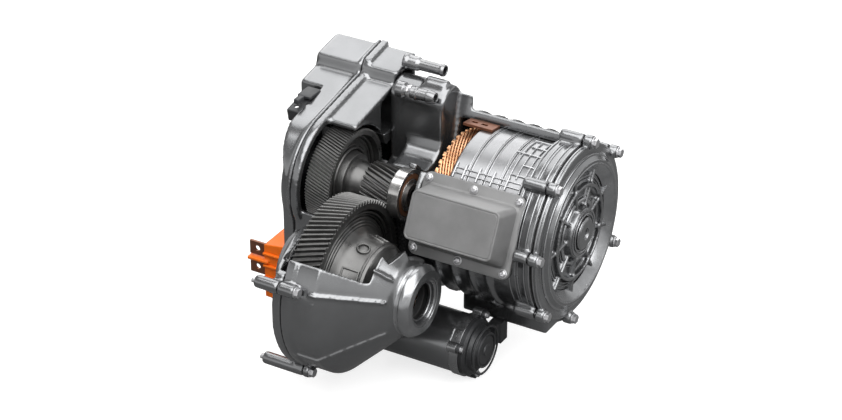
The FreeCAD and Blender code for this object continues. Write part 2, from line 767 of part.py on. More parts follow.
def make_motor_housing():
    bore = jacket_radius + seat_gap
    seat_x = cover_seat_x - gasket_thickness
    body = rod(housing_left_x, seat_x, housing_radius, MOTOR)
    for i in range(rib_count):
        x = rib_first_x + i * rib_pitch
        body = body.fuse(rod(x, x + rib_width, housing_radius + rib_height, MOTOR))
    body = body.fuse(rod(cover_seat_x - 14, seat_x, flange_radius, MOTOR))
    rail = block(housing_left_x, collar_left_x + 20, -6, 6, housing_radius - 8, housing_radius + rib_height)
    rail.rotate(Vector(0, 0, 0), Vector(1, 0, 0), rail_angle - 90)
    rail.translate(point(0, MOTOR))
    foot = slab(
        [(foot_y0, -70), (foot_y0, foot_bottom_z), (foot_y1, foot_bottom_z), (foot_y1, -60)], -20, cover_seat_x - 6
    )
    frame = in_terminal_frame(
        rounded_box(terminal_length - 6, terminal_height - 6, -45, -terminal_flange - gasket_thickness, 10)
    )
    body = body.fuse(rail).fuse(foot).fuse(rod(-15, 116, 6, lower_rail)).fuse(frame)
    for angle in boss_angles:
        length = 48 if angle in long_boss_angles else 34
        body = body.fuse(rod(seat_x - length, seat_x, 9, on_circle(MOTOR, boss_circle, angle)))
    body = body.fuse(slab(rear_outline, case_end_x, housing_left_x + 2))
    body = body.fuse(slab(rear_hump, -134, -98)).fuse(slab(rear_cap, housing_left_x, -66))
    body = body.fuse(rod(case_end_x, housing_left_x, tunnel_radius, MOTOR))
    body = body.fuse(slab(shelf_outline, -150, housing_left_x))
    body = body.fuse(slab(cradle_outline(), pinion_bearing["x0"] + 1, pinion_bearing["x1"] - 1))
    body = body.fuse(block(pinion_bearing["x0"] + 1, housing_left_x, 150, rear_wall_y + 4, 20, 44))
    body = body.fuse(block(drum_parting_x, -84, 136, 214, -70, -52))

    body = body.cut(rod(housing_left_x + end_wall, cover_seat_x + 1, bore, MOTOR))
    body = body.cut(motor_cut())
    body = body.cut(rod(case_end_x - 1, housing_left_x + end_wall + 1, tunnel_bore, MOTOR))
    seat_boss = pipe(
        housing_left_x, rotor_left_bearing["x1"], rotor_left_bearing["outer"] + 6, tunnel_bore, MOTOR
    )
    body = body.fuse(seat_boss).cut(seat(rotor_left_bearing, MOTOR, tail=1.0))
    room = block(case_end_x - 1, housing_left_x - 6, rear_wall_y + 7, rear_wall_y + 45, -12, 190)
    body = body.cut(room.cut(rod(case_end_x - 2, housing_left_x, tunnel_radius, MOTOR)))
    inner_frame = in_terminal_frame(rounded_box(terminal_length - 26, terminal_height - 34, -60, 0, 8))
    body = body.cut(inner_frame.cut(rod(-200, 200, bore + 4, MOTOR)))
    body = body.cut(seat(pinion_bearing, INTERMEDIATE, lead=4, tail=4))
    for angle in boss_angles:
        place = on_circle(MOTOR, boss_circle, angle)
        body = body.cut(rod(cover_seat_x - 32, cover_seat_x + 1, cover_bolt_radius + seat_gap, place))
    for place in terminal_screw_places():
        body = body.cut(in_terminal_frame(Part.makeCylinder(
            terminal_screw_radius + seat_gap, 20, Vector(place[0], place[1], -24))))
    for place in foot_hole_places:
        body = body.cut(Part.makeCylinder(foot_hole_radius, 26, Vector(place[0], place[1], foot_bottom_z - 1)))
    body = body.cut(drum_clearance()).cut(terminal_envelope())
    node("motor_housing", body.removeSplitter())


gasket_thickness = 2.0
rib_count = 5
rib_first_x = -62.0
rib_pitch = 28.0
rib_width = 5.0
rib_height = 5.0
foot_hole_radius = 5.5
foot_hole_places = [(10.0, MOTOR[0] - 37.0), (96.0, MOTOR[0] - 37.0)]
terminal_screw_radius = 2.5


def cradle_outline():
    """The half ring that carries the pinion bearing from below and behind, on its way to the rear wall."""
    ring = pinion_bearing["outer"] + 8
    corners = [on_circle(INTERMEDIATE, ring, angle) for angle in range(-150, 61, 15)]
    inside = [on_circle(INTERMEDIATE, ring - 12, angle) for angle in range(60, -151, -30)]
    return corners + inside


def drum_clearance():
    """Keeps the motor housing clear of the differential housing, its pump and the ring gear."""
    gap = 0.3
    drum = turned(
        [
            (drum_flange_x - 2, 0), (drum_flange_x - 2, drum_radius + 3 + gap), (drum_band_x, drum_radius + 3 + gap),
            (drum_band_x + 3, drum_radius + gap), (cone_start_x, drum_radius + gap),
            (cone_end_x, cone_end_radius + gap), (1, 54), (1, 0),
        ],
        DIFFERENTIAL,
    )
    return drum.fuse(rod(pump_x0 - 1, pump_cover_x1, pump_radius + 2 + gap, PUMP))


def terminal_envelope():
    """The room that the terminal cover and its gasket need in the castings round them."""
    return in_terminal_frame(
        rounded_box(terminal_length + 3, terminal_height + 3, -terminal_flange - gasket_thickness, 60, 13)
    )


def terminal_screw_places():
    inset_x, inset_y = 9.0, 9.0
    half_x, half_y = terminal_length / 2 - inset_x, terminal_height / 2 - inset_y
    return [(x, y) for x in (-half_x, 0.0, half_x) for y in (-half_y, half_y)]


def make_terminal_cover():
    plate = rounded_box(terminal_length, terminal_height, -terminal_flange, 0, 12)
    base = rounded_wire(terminal_length - 25, terminal_height - 36, 12, -0.5)
    top = rounded_wire(terminal_length - 31, terminal_height - 46, 9, terminal_dome)
    dome = Part.makeLoft([base, top], True, True)
    cover = plate.fuse(dome)
    top_edges = [edge for edge in cover.Edges if edge.BoundBox.ZMin > terminal_dome - 0.01]
    cover = cover.makeFillet(2.5, top_edges)
    inner_base = rounded_wire(terminal_length - 33, terminal_height - 44, 9, -terminal_flange - 1)
    inner_top = rounded_wire(terminal_length - 39, terminal_height - 54, 7, terminal_dome - 4)
    cover = cover.cut(Part.makeLoft([inner_base, inner_top], True, True))
    screws = []
    for x, y in terminal_screw_places():
        cover = cover.cut(Part.makeCylinder(terminal_screw_radius + seat_gap, 20, Vector(x, y, -10)))
        shank = Part.makeCylinder(terminal_screw_radius, 11, Vector(x, y, -11))
        head = Part.makeCylinder(6.0, 3.2, Vector(x, y, 0))
        hexagon = Part.makeCylinder(4.2, 2.6, Vector(x, y, 3.2))
        screws.append(in_terminal_frame(shank.fuse(head).fuse(hexagon)))
    node("terminal_cover", in_terminal_frame(cover.removeSplitter()))
    node("terminal_cover_screws", *screws)
    gasket = rounded_box(terminal_length - 8, terminal_height - 8, -terminal_flange - gasket_thickness, -terminal_flange, 10)
    gasket = gasket.cut(rounded_box(terminal_length - 26, terminal_height - 34, -20, 0, 8))
    for x, y in terminal_screw_places():
        gasket = gasket.cut(Part.makeCylinder(terminal_screw_radius + seat_gap, 20, Vector(x, y, -14)))
    node("terminal_gasket", in_terminal_frame(gasket))


def rounded_wire(length, height, corner, z):
    """A rounded rectangle as a wire at a height of the terminal cover's own frame."""
    half_x, half_y = length / 2, height / 2
    edges = []
    for sx, sy, start in ((1, 1, 0), (-1, 1, 90), (-1, -1, 180), (1, -1, 270)):
        middle = Vector(sx * (half_x - corner), sy * (half_y - corner), z)
        ends = []
        for turn in (0, 45, 90):
            angle = math.radians(start + turn)
            ends.append(middle + Vector(corner * math.cos(angle), corner * math.sin(angle), 0))
        if edges:
            edges.append(Part.makeLine(last, ends[0]))
        else:
            first = ends[0]
        edges.append(Part.Arc(*ends).toShape())
        last = ends[2]
    edges.append(Part.makeLine(last, first))
    return Part.Wire(edges)


def make_stator():
    grooves = (-8.0, 18.0, 44.0)
    profile = [(jacket_left_x, jacket_inner_radius), (jacket_left_x, jacket_radius - 4), (jacket_left_x + 4, jacket_radius)]
    for x in grooves:
        profile += [(x, jacket_radius), (x, jacket_radius - 2), (x + 3, jacket_radius - 2), (x + 3, jacket_radius)]
    profile += [(jacket_right_x, jacket_radius), (jacket_right_x, jacket_inner_radius)]
    node("stator_jacket", turned(profile, MOTOR))

    core = pipe(stack_left_x, stack_right_x, jacket_inner_radius - seat_gap, bore_radius, MOTOR)
    slot = block(stack_left_x - 1, stack_right_x + 1, -1.2, 1.2, bore_radius - 1, bore_radius + 3)
    slot.translate(point(0, MOTOR))
    core = core.cut(Part.makeCompound(around(slot, slot_count, MOTOR)))
    node("stator_core", core)
    for name, x0, x1, side in (
        ("stator_winding_left", winding_left_x, stack_left_x, -1),
        ("stator_winding_right", stack_right_x, winding_right_x, 1),
    ):
        node(name, make_winding(x0, x1, side))


def make_winding(x0, x1, side):
    """One overhang of the winding: a ring of hairpin legs that stand out of the stack."""
    free = 9.0
    ring_x0, ring_x1 = (x0 + free, x1) if side < 0 else (x0, x1 - free)
    ring = pipe(ring_x0, ring_x1, winding_outer - 3, winding_inner + 2, MOTOR)
    leg = block(x0, x1, -2.6, 2.6, winding_inner, winding_outer)
    leg.translate(point(0, MOTOR))
    return ring.multiFuse(around(leg, slot_count, MOTOR))


def make_rotor():
    core_radius = bore_radius - air_gap
    core = pipe(stack_left_x, stack_right_x, core_radius, rotor_bore, MOTOR)
    pocket = block(stack_left_x - 1, stack_right_x + 1, -10, 10, core_radius - 12, core_radius - 8)
    pocket.translate(point(0, MOTOR))
    core = core.cut(Part.makeCompound(around(pocket, 8, MOTOR)))
    node("rotor_core", core)
    magnet = block(stack_left_x, stack_right_x, -9.8, 9.8, core_radius - 11.8, core_radius - 8.2)
    magnet.translate(point(0, MOTOR))
    node("rotor_magnets", *around(magnet, 8, MOTOR))
    plates = [
        pipe(stack_left_x - 5, stack_left_x, core_radius - 3, rotor_bore, MOTOR),
        pipe(stack_right_x, stack_right_x + 5, core_radius - 3, rotor_bore, MOTOR),
    ]
    node("rotor_end_plates", *plates)

    pinion = helical_gear(
        reduction_x - 1, reduction_width + 2, stage1_module, input_teeth, input_phase, -1, MOTOR, steps=2, spans=6
    )
    far, left, right = small_bearing, rotor_left_bearing, rotor_right_bearing
    fit = seat_gap
    profile = [
        (far["x0"], 0), (far["x0"], far["bore"] - fit), (far["x1"], far["bore"] - fit), (far["x1"], 18),
        (reduction_end + 3, 18), (reduction_end + 6, 16), (left["x0"] - 4, 16), (left["x0"] - 4, 24),
        (left["x0"], 24), (left["x0"], left["bore"] - fit), (left["x1"], left["bore"] - fit), (left["x1"], 24),
        (stack_left_x - 5, 24), (stack_left_x - 5, rotor_bore - fit), (stack_right_x + 5, rotor_bore - fit),
        (stack_right_x + 5, 22), (right["x0"], 22), (right["x0"], right["bore"] - fit),
        (right["x1"] + 4, right["bore"] - fit), (right["x1"] + 4, 0),
    ]
    node("rotor_shaft", turned(profile, MOTOR).fuse(pinion))


rotor_bore = 30.0
dish_floor_x = 127.0
dish_radius = 98.0
hub_face_x = 140.0
cap_radius = 24.0


def make_end_cover():
    right = rotor_right_bearing
    back_x = 121.0
    profile = [
        (back_x, 40), (back_x, 115), (cover_seat_x, 117), (cover_seat_x, flange_radius), (flange_face_x, flange_radius),
        (flange_face_x, 119), (flange_face_x + 1.5, 116), (rim_face_x, rim_radius), (rim_face_x, rim_radius - 6),
        (dish_floor_x + 2, dish_radius - 3), (dish_floor_x, dish_radius - 6), (dish_floor_x, 40),
        (hub_face_x, 37), (hub_face_x, cap_radius + seat_gap), (hub_face_x - 8, cap_radius + seat_gap),
        (hub_face_x - 8, 12), (right["x1"] + 6, 12), (right["x1"] + 6, 22), (right["x1"] + 1, 22),
        (right["x1"] + 1, right["outer"] + seat_gap),
        (right["x0"], right["outer"] + seat_gap), (right["x0"], 40),
    ]
    cover = turned(profile, MOTOR)
    rib = block(dish_floor_x - 1, dish_floor_x + 7, -2.5, 2.5, 38, dish_radius + 1)
    rib.translate(point(0, MOTOR))
    cover = cover.multiFuse(around(rib, 9, MOTOR, start=10))
    cover = cover.fuse(pipe(dish_floor_x - 1, dish_floor_x + 9, 73, 68, MOTOR))
    for angle in boss_angles:
        place = on_circle(MOTOR, boss_circle, angle)
        cover = cover.fuse(rod(cover_seat_x, rim_face_x - 4, 9.5, place))
        cover = cover.cut(rod(cover_seat_x - 1, rim_face_x, cover_bolt_radius + seat_gap, place))
    cover = cover.cut(pipe(rim_face_x - 9, rim_face_x + 20, 400, rim_radius + 60, MOTOR))
    node("motor_end_cover", cover.removeSplitter())
    node("end_cover_gasket", end_cover_gasket())
    bolts = [
        hex_screw(cover_seat_x - 24, rim_face_x - 4, cover_bolt_radius, on_circle(MOTOR, boss_circle, angle))
        for angle in boss_angles
    ]
    node("end_cover_bolts", *bolts)
    cap = turned(
        [(hub_face_x - 8, 0), (hub_face_x - 8, cap_radius), (hub_face_x + 3, cap_radius), (hub_face_x + 5, 21),
         (hub_face_x + 5, 9), (hub_face_x + 2, 8), (hub_face_x + 2, 0)], MOTOR)
    node("resolver_cap", cap)


def end_cover_gasket():
    gasket = pipe(cover_seat_x - gasket_thickness, cover_seat_x, housing_radius - 1.5, jacket_radius + 0.5, MOTOR)
    return gasket


# Oil pump

pump_plate_width = 14.0
pump_cover_x1 = 46.0
pump_cover_radius = 43.0
pump_screw_angles = (50.0, 155.0, 275.0)


def make_pump():
    lobes = [on_circle(PUMP, pump_radius + 5, angle) for angle in pump_screw_angles]
    x0, x1 = pump_flange_x, pump_flange_x + pump_plate_width
    flange = rod(x0, x1, pump_radius + 2, PUMP)
    cover = turned(
        [(x1, 0), (x1, pump_cover_radius), (x1 + 6, pump_cover_radius), (x1 + 9, pump_cover_radius - 3),
         (x1 + 9, 34), (x1 + 15, 32), (x1 + 15, 28), (pump_cover_x1 - 1, 27), (pump_cover_x1, 26),
         (pump_cover_x1, 0)],
        PUMP,
    )
    for place in lobes:
        flange = flange.fuse(rod(x0, x1, 8, place))
        cover = cover.fuse(rod(x1, x1 + 5, 7.5, place))
    socket = block(x1 + 3, pump_cover_x1 - 4, PUMP[0] + 34, PUMP[0] + 50, PUMP[1] - 14, PUMP[1] + 18)
    flange = flange.cut(rod(x0 - 1, x1 + 1, pump_rotor_radius + 2 * running_gap, PUMP))
    cover = cover.cut(rod(x1 - 1, x1 + 14, pump_rotor_radius, PUMP)).cut(socket)
    hole = pump_screw_radius + seat_gap
    for place in lobes:
        flange = flange.cut(rod(x0 - 1, x1 + 1, hole, place))
        cover = cover.cut(rod(x1 - 1, x1 + 6, hole, place))
    node("oil_pump_flange", flange.removeSplitter())
    node("oil_pump_cover", cover.removeSplitter())
    plug = socket.fuse(
        block(x1 + 1, pump_cover_x1 - 2, PUMP[0] + 50, PUMP[0] + 70, PUMP[1] - 18, PUMP[1] + 16)
    )
    well = block(x1 + 4, pump_cover_x1 - 5, PUMP[0] + 54, PUMP[0] + 71, PUMP[1] - 15, PUMP[1] + 13)
    node("oil_pump_connector", plug.cut(well).removeSplitter())
    node("oil_pump_screws", *[hex_screw(x0 + 0.5, x1 + 5, pump_screw_radius, place) for place in lobes])
    core = rod(x0 + 0.5, x1 + 13, 9, PUMP)
    inner = rod(x0 + 1, x1 - 1, pump_rotor_radius - running_gap, PUMP)
    node("oil_pump_rotor", core.fuse(inner))


pump_rotor_radius = 24.0
pump_screw_radius = 2.5


# Connectors, coolant and the high-voltage block

def make_services():
    length = 20.0
    body = Part.makeBox(length + 14, 57, 20, Vector(-length, 0, -20))
    body = body.cut(Part.makeBox(length - 6, 45, 14, Vector(-length - 1, 6, -17)))
    body = body.cut(Part.makeCylinder(3, 4, Vector(-length / 2, 12, -3)))
    body.rotate(Vector(0, 0, 0), Vector(1, 0, 0), top_slope)
    body.translate(Vector(cover_top_x, 117, slope_height(117) - 1))
    node("signal_connector", largest(body.cut(pieces["gearbox_cover"])))

    x0, x1 = case_end_x, nozzle_end_x
    nozzle = turned(
        [(x0, 6.5), (x0, 12.5), (x0 + 5, 12.5), (x0 + 8, 11), (x0 + 22, 10.5), (x0 + 26, 8.5), (x1 - 6, 8.5),
         (x1 - 5, 9.5), (x1, 8.5), (x1, 6.5)],
        coolant_inlet_place,
    )
    node("coolant_inlet", nozzle)
    x1 = outlet_end_x
    outlet = turned(
        [(x0, 6), (x0, 12), (x1 - 44, 12), (x1 - 40, 9.5), (x1 - 8, 9.5), (x1 - 6, 11), (x1 - 2, 11), (x1, 9),
         (x1, 6)],
        coolant_outlet_place,
    )
    node("coolant_outlet", largest(outlet.cut(pieces["motor_housing"])))
    make_high_voltage_block()

    bracket = block(-62, -14, -12, 12, -2, 2)
    for x in (-54, -38):
        bracket = bracket.cut(block(x, x + 10, -3, 3, -4, 4))
    bracket.rotate(Vector(0, 0, 0), Vector(1, 0, 0), rail_angle + 8 - 90)
    bracket.translate(point(0, on_circle(MOTOR, jacket_radius + 2, rail_angle + 8)))
    node("winding_bracket", bracket)


def make_high_voltage_block():
    x0 = hv_pad_x
    profile = [(x0, hv_z1), (x0 - 13, hv_z1), (x0 - 48, -16), (x0 - 48, -106), (x0 - 8, -108), (x0, hv_z0)]
    face = Part.Face(Part.makePolygon([Vector(x, hv_y0, z) for x, z in profile + profile[:1]]))
    body = face.extrude(Vector(0, 56, 0))
    body = body.fuse(block(x0 - 8, x0, hv_y0, hv_y1, hv_z0, hv_z1))
    body = body.fuse(block(hv_tab_x0 - 2, x0 - 40, hv_tab_y - 8, hv_tab_y + 14, -47, -42))
    tabs = []
    for z in hv_tab_heights:
        body = body.cut(block(hv_tab_x0 - 1, x0 - 20, hv_tab_y - 2, hv_tab_y + 2, z - 12, z + 12))
        tab = block(hv_tab_x0, x0 - 21, hv_tab_y - 1.9, hv_tab_y + 1.9, z - 11, z + 11)
        tabs.append(tab.cut(Part.makeCylinder(4.5, 10, Vector(hv_tab_x0 + 13, hv_tab_y - 5, z), Vector(0, 1, 0))))
    node("hv_connector", body.removeSplitter())
    node("hv_busbars", *tabs)


nozzle_end_x = -113.0
outlet_end_x = -96.0
coolant_inlet_place = (257.0, 222.0)
coolant_outlet_place = (205.0, 204.0)
hv_tab_x0 = -324.0
hv_tab_y = 48.0
hv_tab_heights = (-28.0, -59.0)


def make_long_bolts():
    bolts = [
        hex_screw(boss_starts[place] - 6, boss_ends[place], long_bolt_radius, place) for place in long_bolt_places
    ]
    node("housing_bolts", *bolts)


def build():
    os.makedirs("parts", exist_ok=True)
    make_gearbox_cover()
    make_gearbox_housing()
    make_differential_housing()
    make_output_seals()
    make_long_bolts()
    make_intermediate()
    make_bearings()
    make_differential()
    make_motor_housing()
    make_terminal_cover()
    make_stator()
    make_rotor()
    make_end_cover()
    make_pump()
    make_services()
    for name, shape in pieces.items():
        shape.exportStep("parts/" + name + ".step")
        print(name, len(shape.Solids), len(shape.Faces), round(shape.Volume / 1000, 1), shape.isValid())


build()
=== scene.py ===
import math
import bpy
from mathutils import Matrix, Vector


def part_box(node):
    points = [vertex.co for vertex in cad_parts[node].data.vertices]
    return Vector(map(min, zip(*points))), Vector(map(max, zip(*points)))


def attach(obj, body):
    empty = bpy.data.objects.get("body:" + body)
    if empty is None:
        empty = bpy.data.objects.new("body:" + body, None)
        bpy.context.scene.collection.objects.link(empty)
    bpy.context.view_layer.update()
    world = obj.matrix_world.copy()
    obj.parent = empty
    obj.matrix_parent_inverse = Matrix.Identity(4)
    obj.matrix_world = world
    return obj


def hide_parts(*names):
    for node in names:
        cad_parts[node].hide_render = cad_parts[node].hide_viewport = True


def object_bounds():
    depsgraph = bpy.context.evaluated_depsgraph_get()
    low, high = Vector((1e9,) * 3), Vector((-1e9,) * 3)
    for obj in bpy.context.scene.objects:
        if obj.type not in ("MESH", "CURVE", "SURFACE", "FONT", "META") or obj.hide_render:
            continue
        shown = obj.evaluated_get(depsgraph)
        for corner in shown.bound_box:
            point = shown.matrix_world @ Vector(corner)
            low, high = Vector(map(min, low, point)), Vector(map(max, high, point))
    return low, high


bl_info = {
    "name": "Electric drive unit",
    "version": (1, 0, 0),
    "blender": (4, 5, 0),
    "location": "View3D > Sidebar > Drive Unit",
    "description": "Finishes the solids of an electric drive unit and adds its windings, cages and trim",
    "category": "Object",
}

import bmesh
import bpy
from bpy.props import FloatProperty, FloatVectorProperty, IntProperty, PointerProperty
from mathutils import Matrix, Vector

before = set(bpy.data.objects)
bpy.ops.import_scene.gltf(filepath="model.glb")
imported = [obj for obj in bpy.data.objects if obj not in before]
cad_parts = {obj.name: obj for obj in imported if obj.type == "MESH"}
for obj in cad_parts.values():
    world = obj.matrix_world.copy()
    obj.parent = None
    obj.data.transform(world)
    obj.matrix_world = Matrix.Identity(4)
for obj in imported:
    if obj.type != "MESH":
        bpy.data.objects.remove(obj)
cad_low, cad_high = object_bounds()

MM = 0.001
SAME_PLACE = 1e-6

# where the shafts' centre lines cross the plane x = 0, in metres
DIFFERENTIAL = Vector((0.0, 0.0, 0.0))
INTERMEDIATE = Vector((0.0, 0.122873, 0.086036))
MOTOR = Vector((0.0, 0.211944, 0.046379))
PUMP = Vector((0.0, 0.097, -0.119))

# surfaces of the solids that trim lies on, in millimetres
JACKET_RADIUS = 118
HOUSING_RADIUS = 128
END_COVER_RADIUS = 129.6
END_COVER_FLOOR = 127
CASE_LEFT = -264
CASE_BACK = 262
PUMP_FACE = 46


def colour_property(name, description, value):
    """A colour that the sidebar can change."""
    return FloatVectorProperty(
        name=name, description=description, subtype="COLOR", size=3, min=0.0, max=1.0, default=value
    )


def length_property(name, description, value):
    """A length in metres that the sidebar can change."""
    return FloatProperty(
        name=name, description=description, subtype="DISTANCE", unit="LENGTH", min=0.0, default=value
    )


class DriveUnitColours(bpy.types.PropertyGroup):
    """Colours of the finishes."""

    cast: colour_property("Cast aluminium", "Colour of the castings", (0.225, 0.228, 0.233))
    machined: colour_property("Machined aluminium", "Colour of the turned faces", (0.3, 0.302, 0.308))
    gear: colour_property("Gear steel", "Colour of the blackened gears", (0.12, 0.119, 0.117))
    shaft: colour_property("Shaft steel", "Colour of the shafts", (0.2, 0.2, 0.205))
    bearing: colour_property("Bearing steel", "Colour of the bearing rings", (0.55, 0.54, 0.53))
    cage: colour_property("Bearing cage", "Colour of the bearing cages", (0.32, 0.15, 0.08))
    screw: colour_property("Screw steel", "Colour of the screws", (0.5, 0.5, 0.51))
    winding: colour_property("Winding", "Colour of the enamelled copper bars", (0.78, 0.42, 0.22))
    busbar: colour_property("Busbar", "Colour of the copper tabs", (0.2, 0.085, 0.05))
    orange: colour_property("Orange plastic", "Colour of the high-voltage block", (0.93, 0.17, 0.002))
    plastic: colour_property("Dark plastic", "Colour of the connectors", (0.022, 0.023, 0.025))
    jacket: colour_property("Jacket aluminium", "Colour of the stator's water jacket", (0.27, 0.272, 0.278))
    cover: colour_property("Grey paint", "Colour of the terminal cover", (0.19, 0.19, 0.19))
    pump: colour_property("Dark paint", "Colour of the oil pump", (0.04, 0.041, 0.043))
    floor: colour_property("Floor", "Colour of the floor", (0.95, 0.95, 0.95))


class DriveUnitSizes(bpy.types.PropertyGroup):
    """Sizes that a user would change."""

    edge_round: length_property("Edge rounding", "Radius of the casting's rounded edges", 0.002)
    hairpin_width: length_property("Bar width", "Width of a winding bar round the shaft", 0.0072)
    hairpin_depth: length_property("Bar depth", "Depth of a winding bar towards the shaft", 0.0039)
    slots: IntProperty(name="Slots", description="Number of slots in the stator", min=12, max=96, default=48)


def colours():
    """The colours of the open scene."""
    return bpy.context.scene.drive_unit_colours


def sizes():
    """The sizes of the open scene."""
    return bpy.context.scene.drive_unit_sizes


class Nodes:
    """A node tree that is put together node by node."""

    def __init__(self, tree):
        self.tree = tree

    def plug(self, socket, value):
        """Fills a socket with a value or with another node's output."""
        if isinstance(value, bpy.types.NodeSocket):
            self.tree.links.new(value, socket)
        else:
            socket.default_value = value

    def add(self, kind, inputs=(), **settings):
        """Adds a node, sets it and fills its sockets."""
        node = self.tree.nodes.new(kind)
        for key, value in settings.items():
            setattr(node, key, value)
        for key, value in dict(inputs).items():
            self.plug(node.inputs[key], value)
        return node

    def between(self, factor, low, high, start=0.0, end=1.0, **settings):
        """Maps a factor from one range to another."""
        inputs = {"Value": factor, "From Min": start, "From Max": end, "To Min": low, "To Max": high}
        return self.add("ShaderNodeMapRange", inputs, **settings).outputs["Result"]

    def sum(self, first, second, operation="ADD"):
        """Adds, or otherwise joins, two numbers."""
        return self.add("ShaderNodeMath", {0: first, 1: second}, operation=operation).outputs[0]


class Finish(Nodes):
    """A procedural finish in the piece's own space."""

    def __init__(self, name):
        self.material = bpy.data.materials.new(name)
        self.material.use_nodes = True
        super().__init__(self.material.node_tree)
        self.shader = self.tree.nodes["Principled BSDF"]
        self.place = self.add("ShaderNodeTexCoord").outputs["Object"]

    def set(self, **values):
        """Sets the shader's own sockets; a socket's spaces are written as underscores."""
        for key, value in values.items():
            self.plug(self.shader.inputs[key.replace("_", " ")], value)

    def noise(self, scale, detail=3.0, roughness=0.5):
        """Noise; the scale is in lumps a metre."""
        inputs = {"Vector": self.place, "Scale": scale, "Detail": detail, "Roughness": roughness}
        return self.add("ShaderNodeTexNoise", inputs).outputs["Fac"]

    def ramp(self, factor, stops):
        """A colour ramp from a list of places and colours."""
        node = self.add("ShaderNodeValToRGB", {"Fac": factor})
        for element, (place, colour) in zip(node.color_ramp.elements, stops):
            element.position = place
            element.color = (*colour, 1.0)
        return node.outputs["Color"]

    def tone(self, factor, colour, low, high, start=0.3, end=0.7):
        """A colour that a factor makes darker and lighter."""
        return self.ramp(factor, [(start, shade(colour, low)), (end, shade(colour, high))])

    def mix(self, factor, first, second):
        """Mixes two colours, which may be other nodes' outputs."""
        node = self.add("ShaderNodeMix", {"Factor": factor}, data_type="RGBA")
        for key, value in ((6, first), (7, second)):
            is_socket = isinstance(value, bpy.types.NodeSocket)
            self.plug(node.inputs[key], value if is_socket else (*value, 1.0))
        return node.outputs[2]

    def rounded(self, radius):
        """The surface's direction with its edges rounded."""
        return self.add("ShaderNodeBevel", {"Radius": radius}, samples=4).outputs["Normal"]

    def edges(self, rounded):
        """1 where the surface is at an edge, 0 on its faces; the finishes paint a highlight with it."""
        plain = self.add("ShaderNodeNewGeometry").outputs["Normal"]
        dot = self.add("ShaderNodeVectorMath", {0: rounded, 1: plain}, operation="DOT_PRODUCT")
        return self.between(dot.outputs["Value"], 1.0, 0.0, 0.72, 0.995)

    def creases(self, reach):
        """Ambient occlusion, 0 in the creases and pockets of a surface and 1 on its open faces; the cast
        finish paints shade with it.
        """
        return self.add("ShaderNodeAmbientOcclusion", {"Distance": reach}, samples=4).outputs["AO"]

    def bump(self, height, distance, strength, normal=None):
        """Bumps of a height in metres."""
        inputs = {"Height": height, "Distance": distance, "Strength": strength}
        if normal is not None:
            inputs["Normal"] = normal
        return self.add("ShaderNodeBump", inputs).outputs["Normal"]

    def coat(self, clouds, colour, tones, edge_highlight_and_wear, rough, rounded, **values):
        """Sets a cloudy colour whose edges carry a painted highlight (partly standing for edge wear), a
        cloudy roughness and what else is given.
        """
        tone = self.tone(clouds, colour, *tones)
        # painted highlight: the edges take the colour lightened by the given factor, partly standing for worn
        # edges
        self.set(
            Base_Color=self.mix(self.edges(rounded), tone, shade(colour, edge_highlight_and_wear)),
            Roughness=self.between(clouds, *rough, 0.3, 0.7),
            **values,
        )
        return self.material


def shade(colour, factor):
    """A lighter or darker version of a colour."""
    return tuple(min(1.0, c * factor) for c in colour)


def cast_finish(name, colour, grain=900.0, metallic=0.9, rough=(0.17, 0.25), edge_highlight_and_wear_tone=2.2):
    """Blasted die casting: fine grain and a soft cloudy tone, with painted shade in the creases and a painted
    highlight on the edges, partly standing for worn edges.
    """
    finish = Finish(name)
    clouds = finish.noise(14.0, 4.0, 0.6)
    fine = finish.noise(grain, 3.0, 0.7)
    waves = finish.noise(55.0, 2.0, 0.5)
    tone = finish.tone(clouds, colour, 0.9, 1.08)
    rounded = finish.rounded(sizes().edge_round)
    # painted highlight: the colour turns paler at the edges, where the rounded normal leaves the true one;
    # partly standing for worn edges
    edge = finish.edges(rounded)
    tone_with_edge_highlight = finish.mix(edge, tone, shade(colour, edge_highlight_and_wear_tone))
    # painted shade: ambient occlusion darkens the colour in creases and pockets
    painted_crease_shade = finish.between(finish.creases(0.035), 0.0, 1.0, 0.1, 0.7)
    grained = finish.bump(fine, 0.00002, 0.2, rounded)
    finish.set(
        Base_Color=finish.mix(painted_crease_shade, shade(colour, 0.42), tone_with_edge_highlight),
        Roughness=finish.between(finish.sum(clouds, fine), rough[0], rough[1], 0.7, 1.3),
        Normal=finish.bump(waves, 0.0002, 0.15, grained),
        Metallic=metallic,
    )
    return finish.material


def machined_finish(name, colour, centre, metallic=0.92, rough=(0.2, 0.3)):
    """Turned metal with fine rings round its shaft's centre line."""
    finish = Finish(name)
    to_centre = {"Vector": finish.place, "Location": (0.0, -centre.y, -centre.z)}
    place = finish.add("ShaderNodeMapping", to_centre).outputs["Vector"]
    rings = finish.add(
        "ShaderNodeTexWave",
        {"Vector": place, "Scale": 900.0, "Distortion": 1.5, "Detail": 2.0, "Detail Scale": 2.0},
        wave_type="RINGS",
        rings_direction="X",
    ).outputs["Fac"]
    clouds = finish.noise(30.0, 3.0, 0.6)
    rounded = finish.rounded(sizes().edge_round * 0.5)
    normal = finish.bump(rings, 0.00001, 0.3, rounded)
    # the coat paints a highlight on the turned edges
    return finish.coat(clouds, colour, (0.85, 1.1), 1.5, rough, rounded, Normal=normal, Metallic=metallic)


def gear_finish(name, colour):
    """Blackened, oiled gear steel with a painted highlight on the tooth edges."""
    finish = Finish(name)
    clouds = finish.noise(60.0, 4.0, 0.6)
    fine = finish.noise(2500.0, 2.0, 0.6)
    rounded = finish.rounded(sizes().edge_round * 0.45)
    normal = finish.bump(fine, 0.0001, 0.4, rounded)
    return finish.coat(clouds, colour, (0.85, 1.15), 2.2, (0.26, 0.42), rounded, Normal=normal, Metallic=0.85)


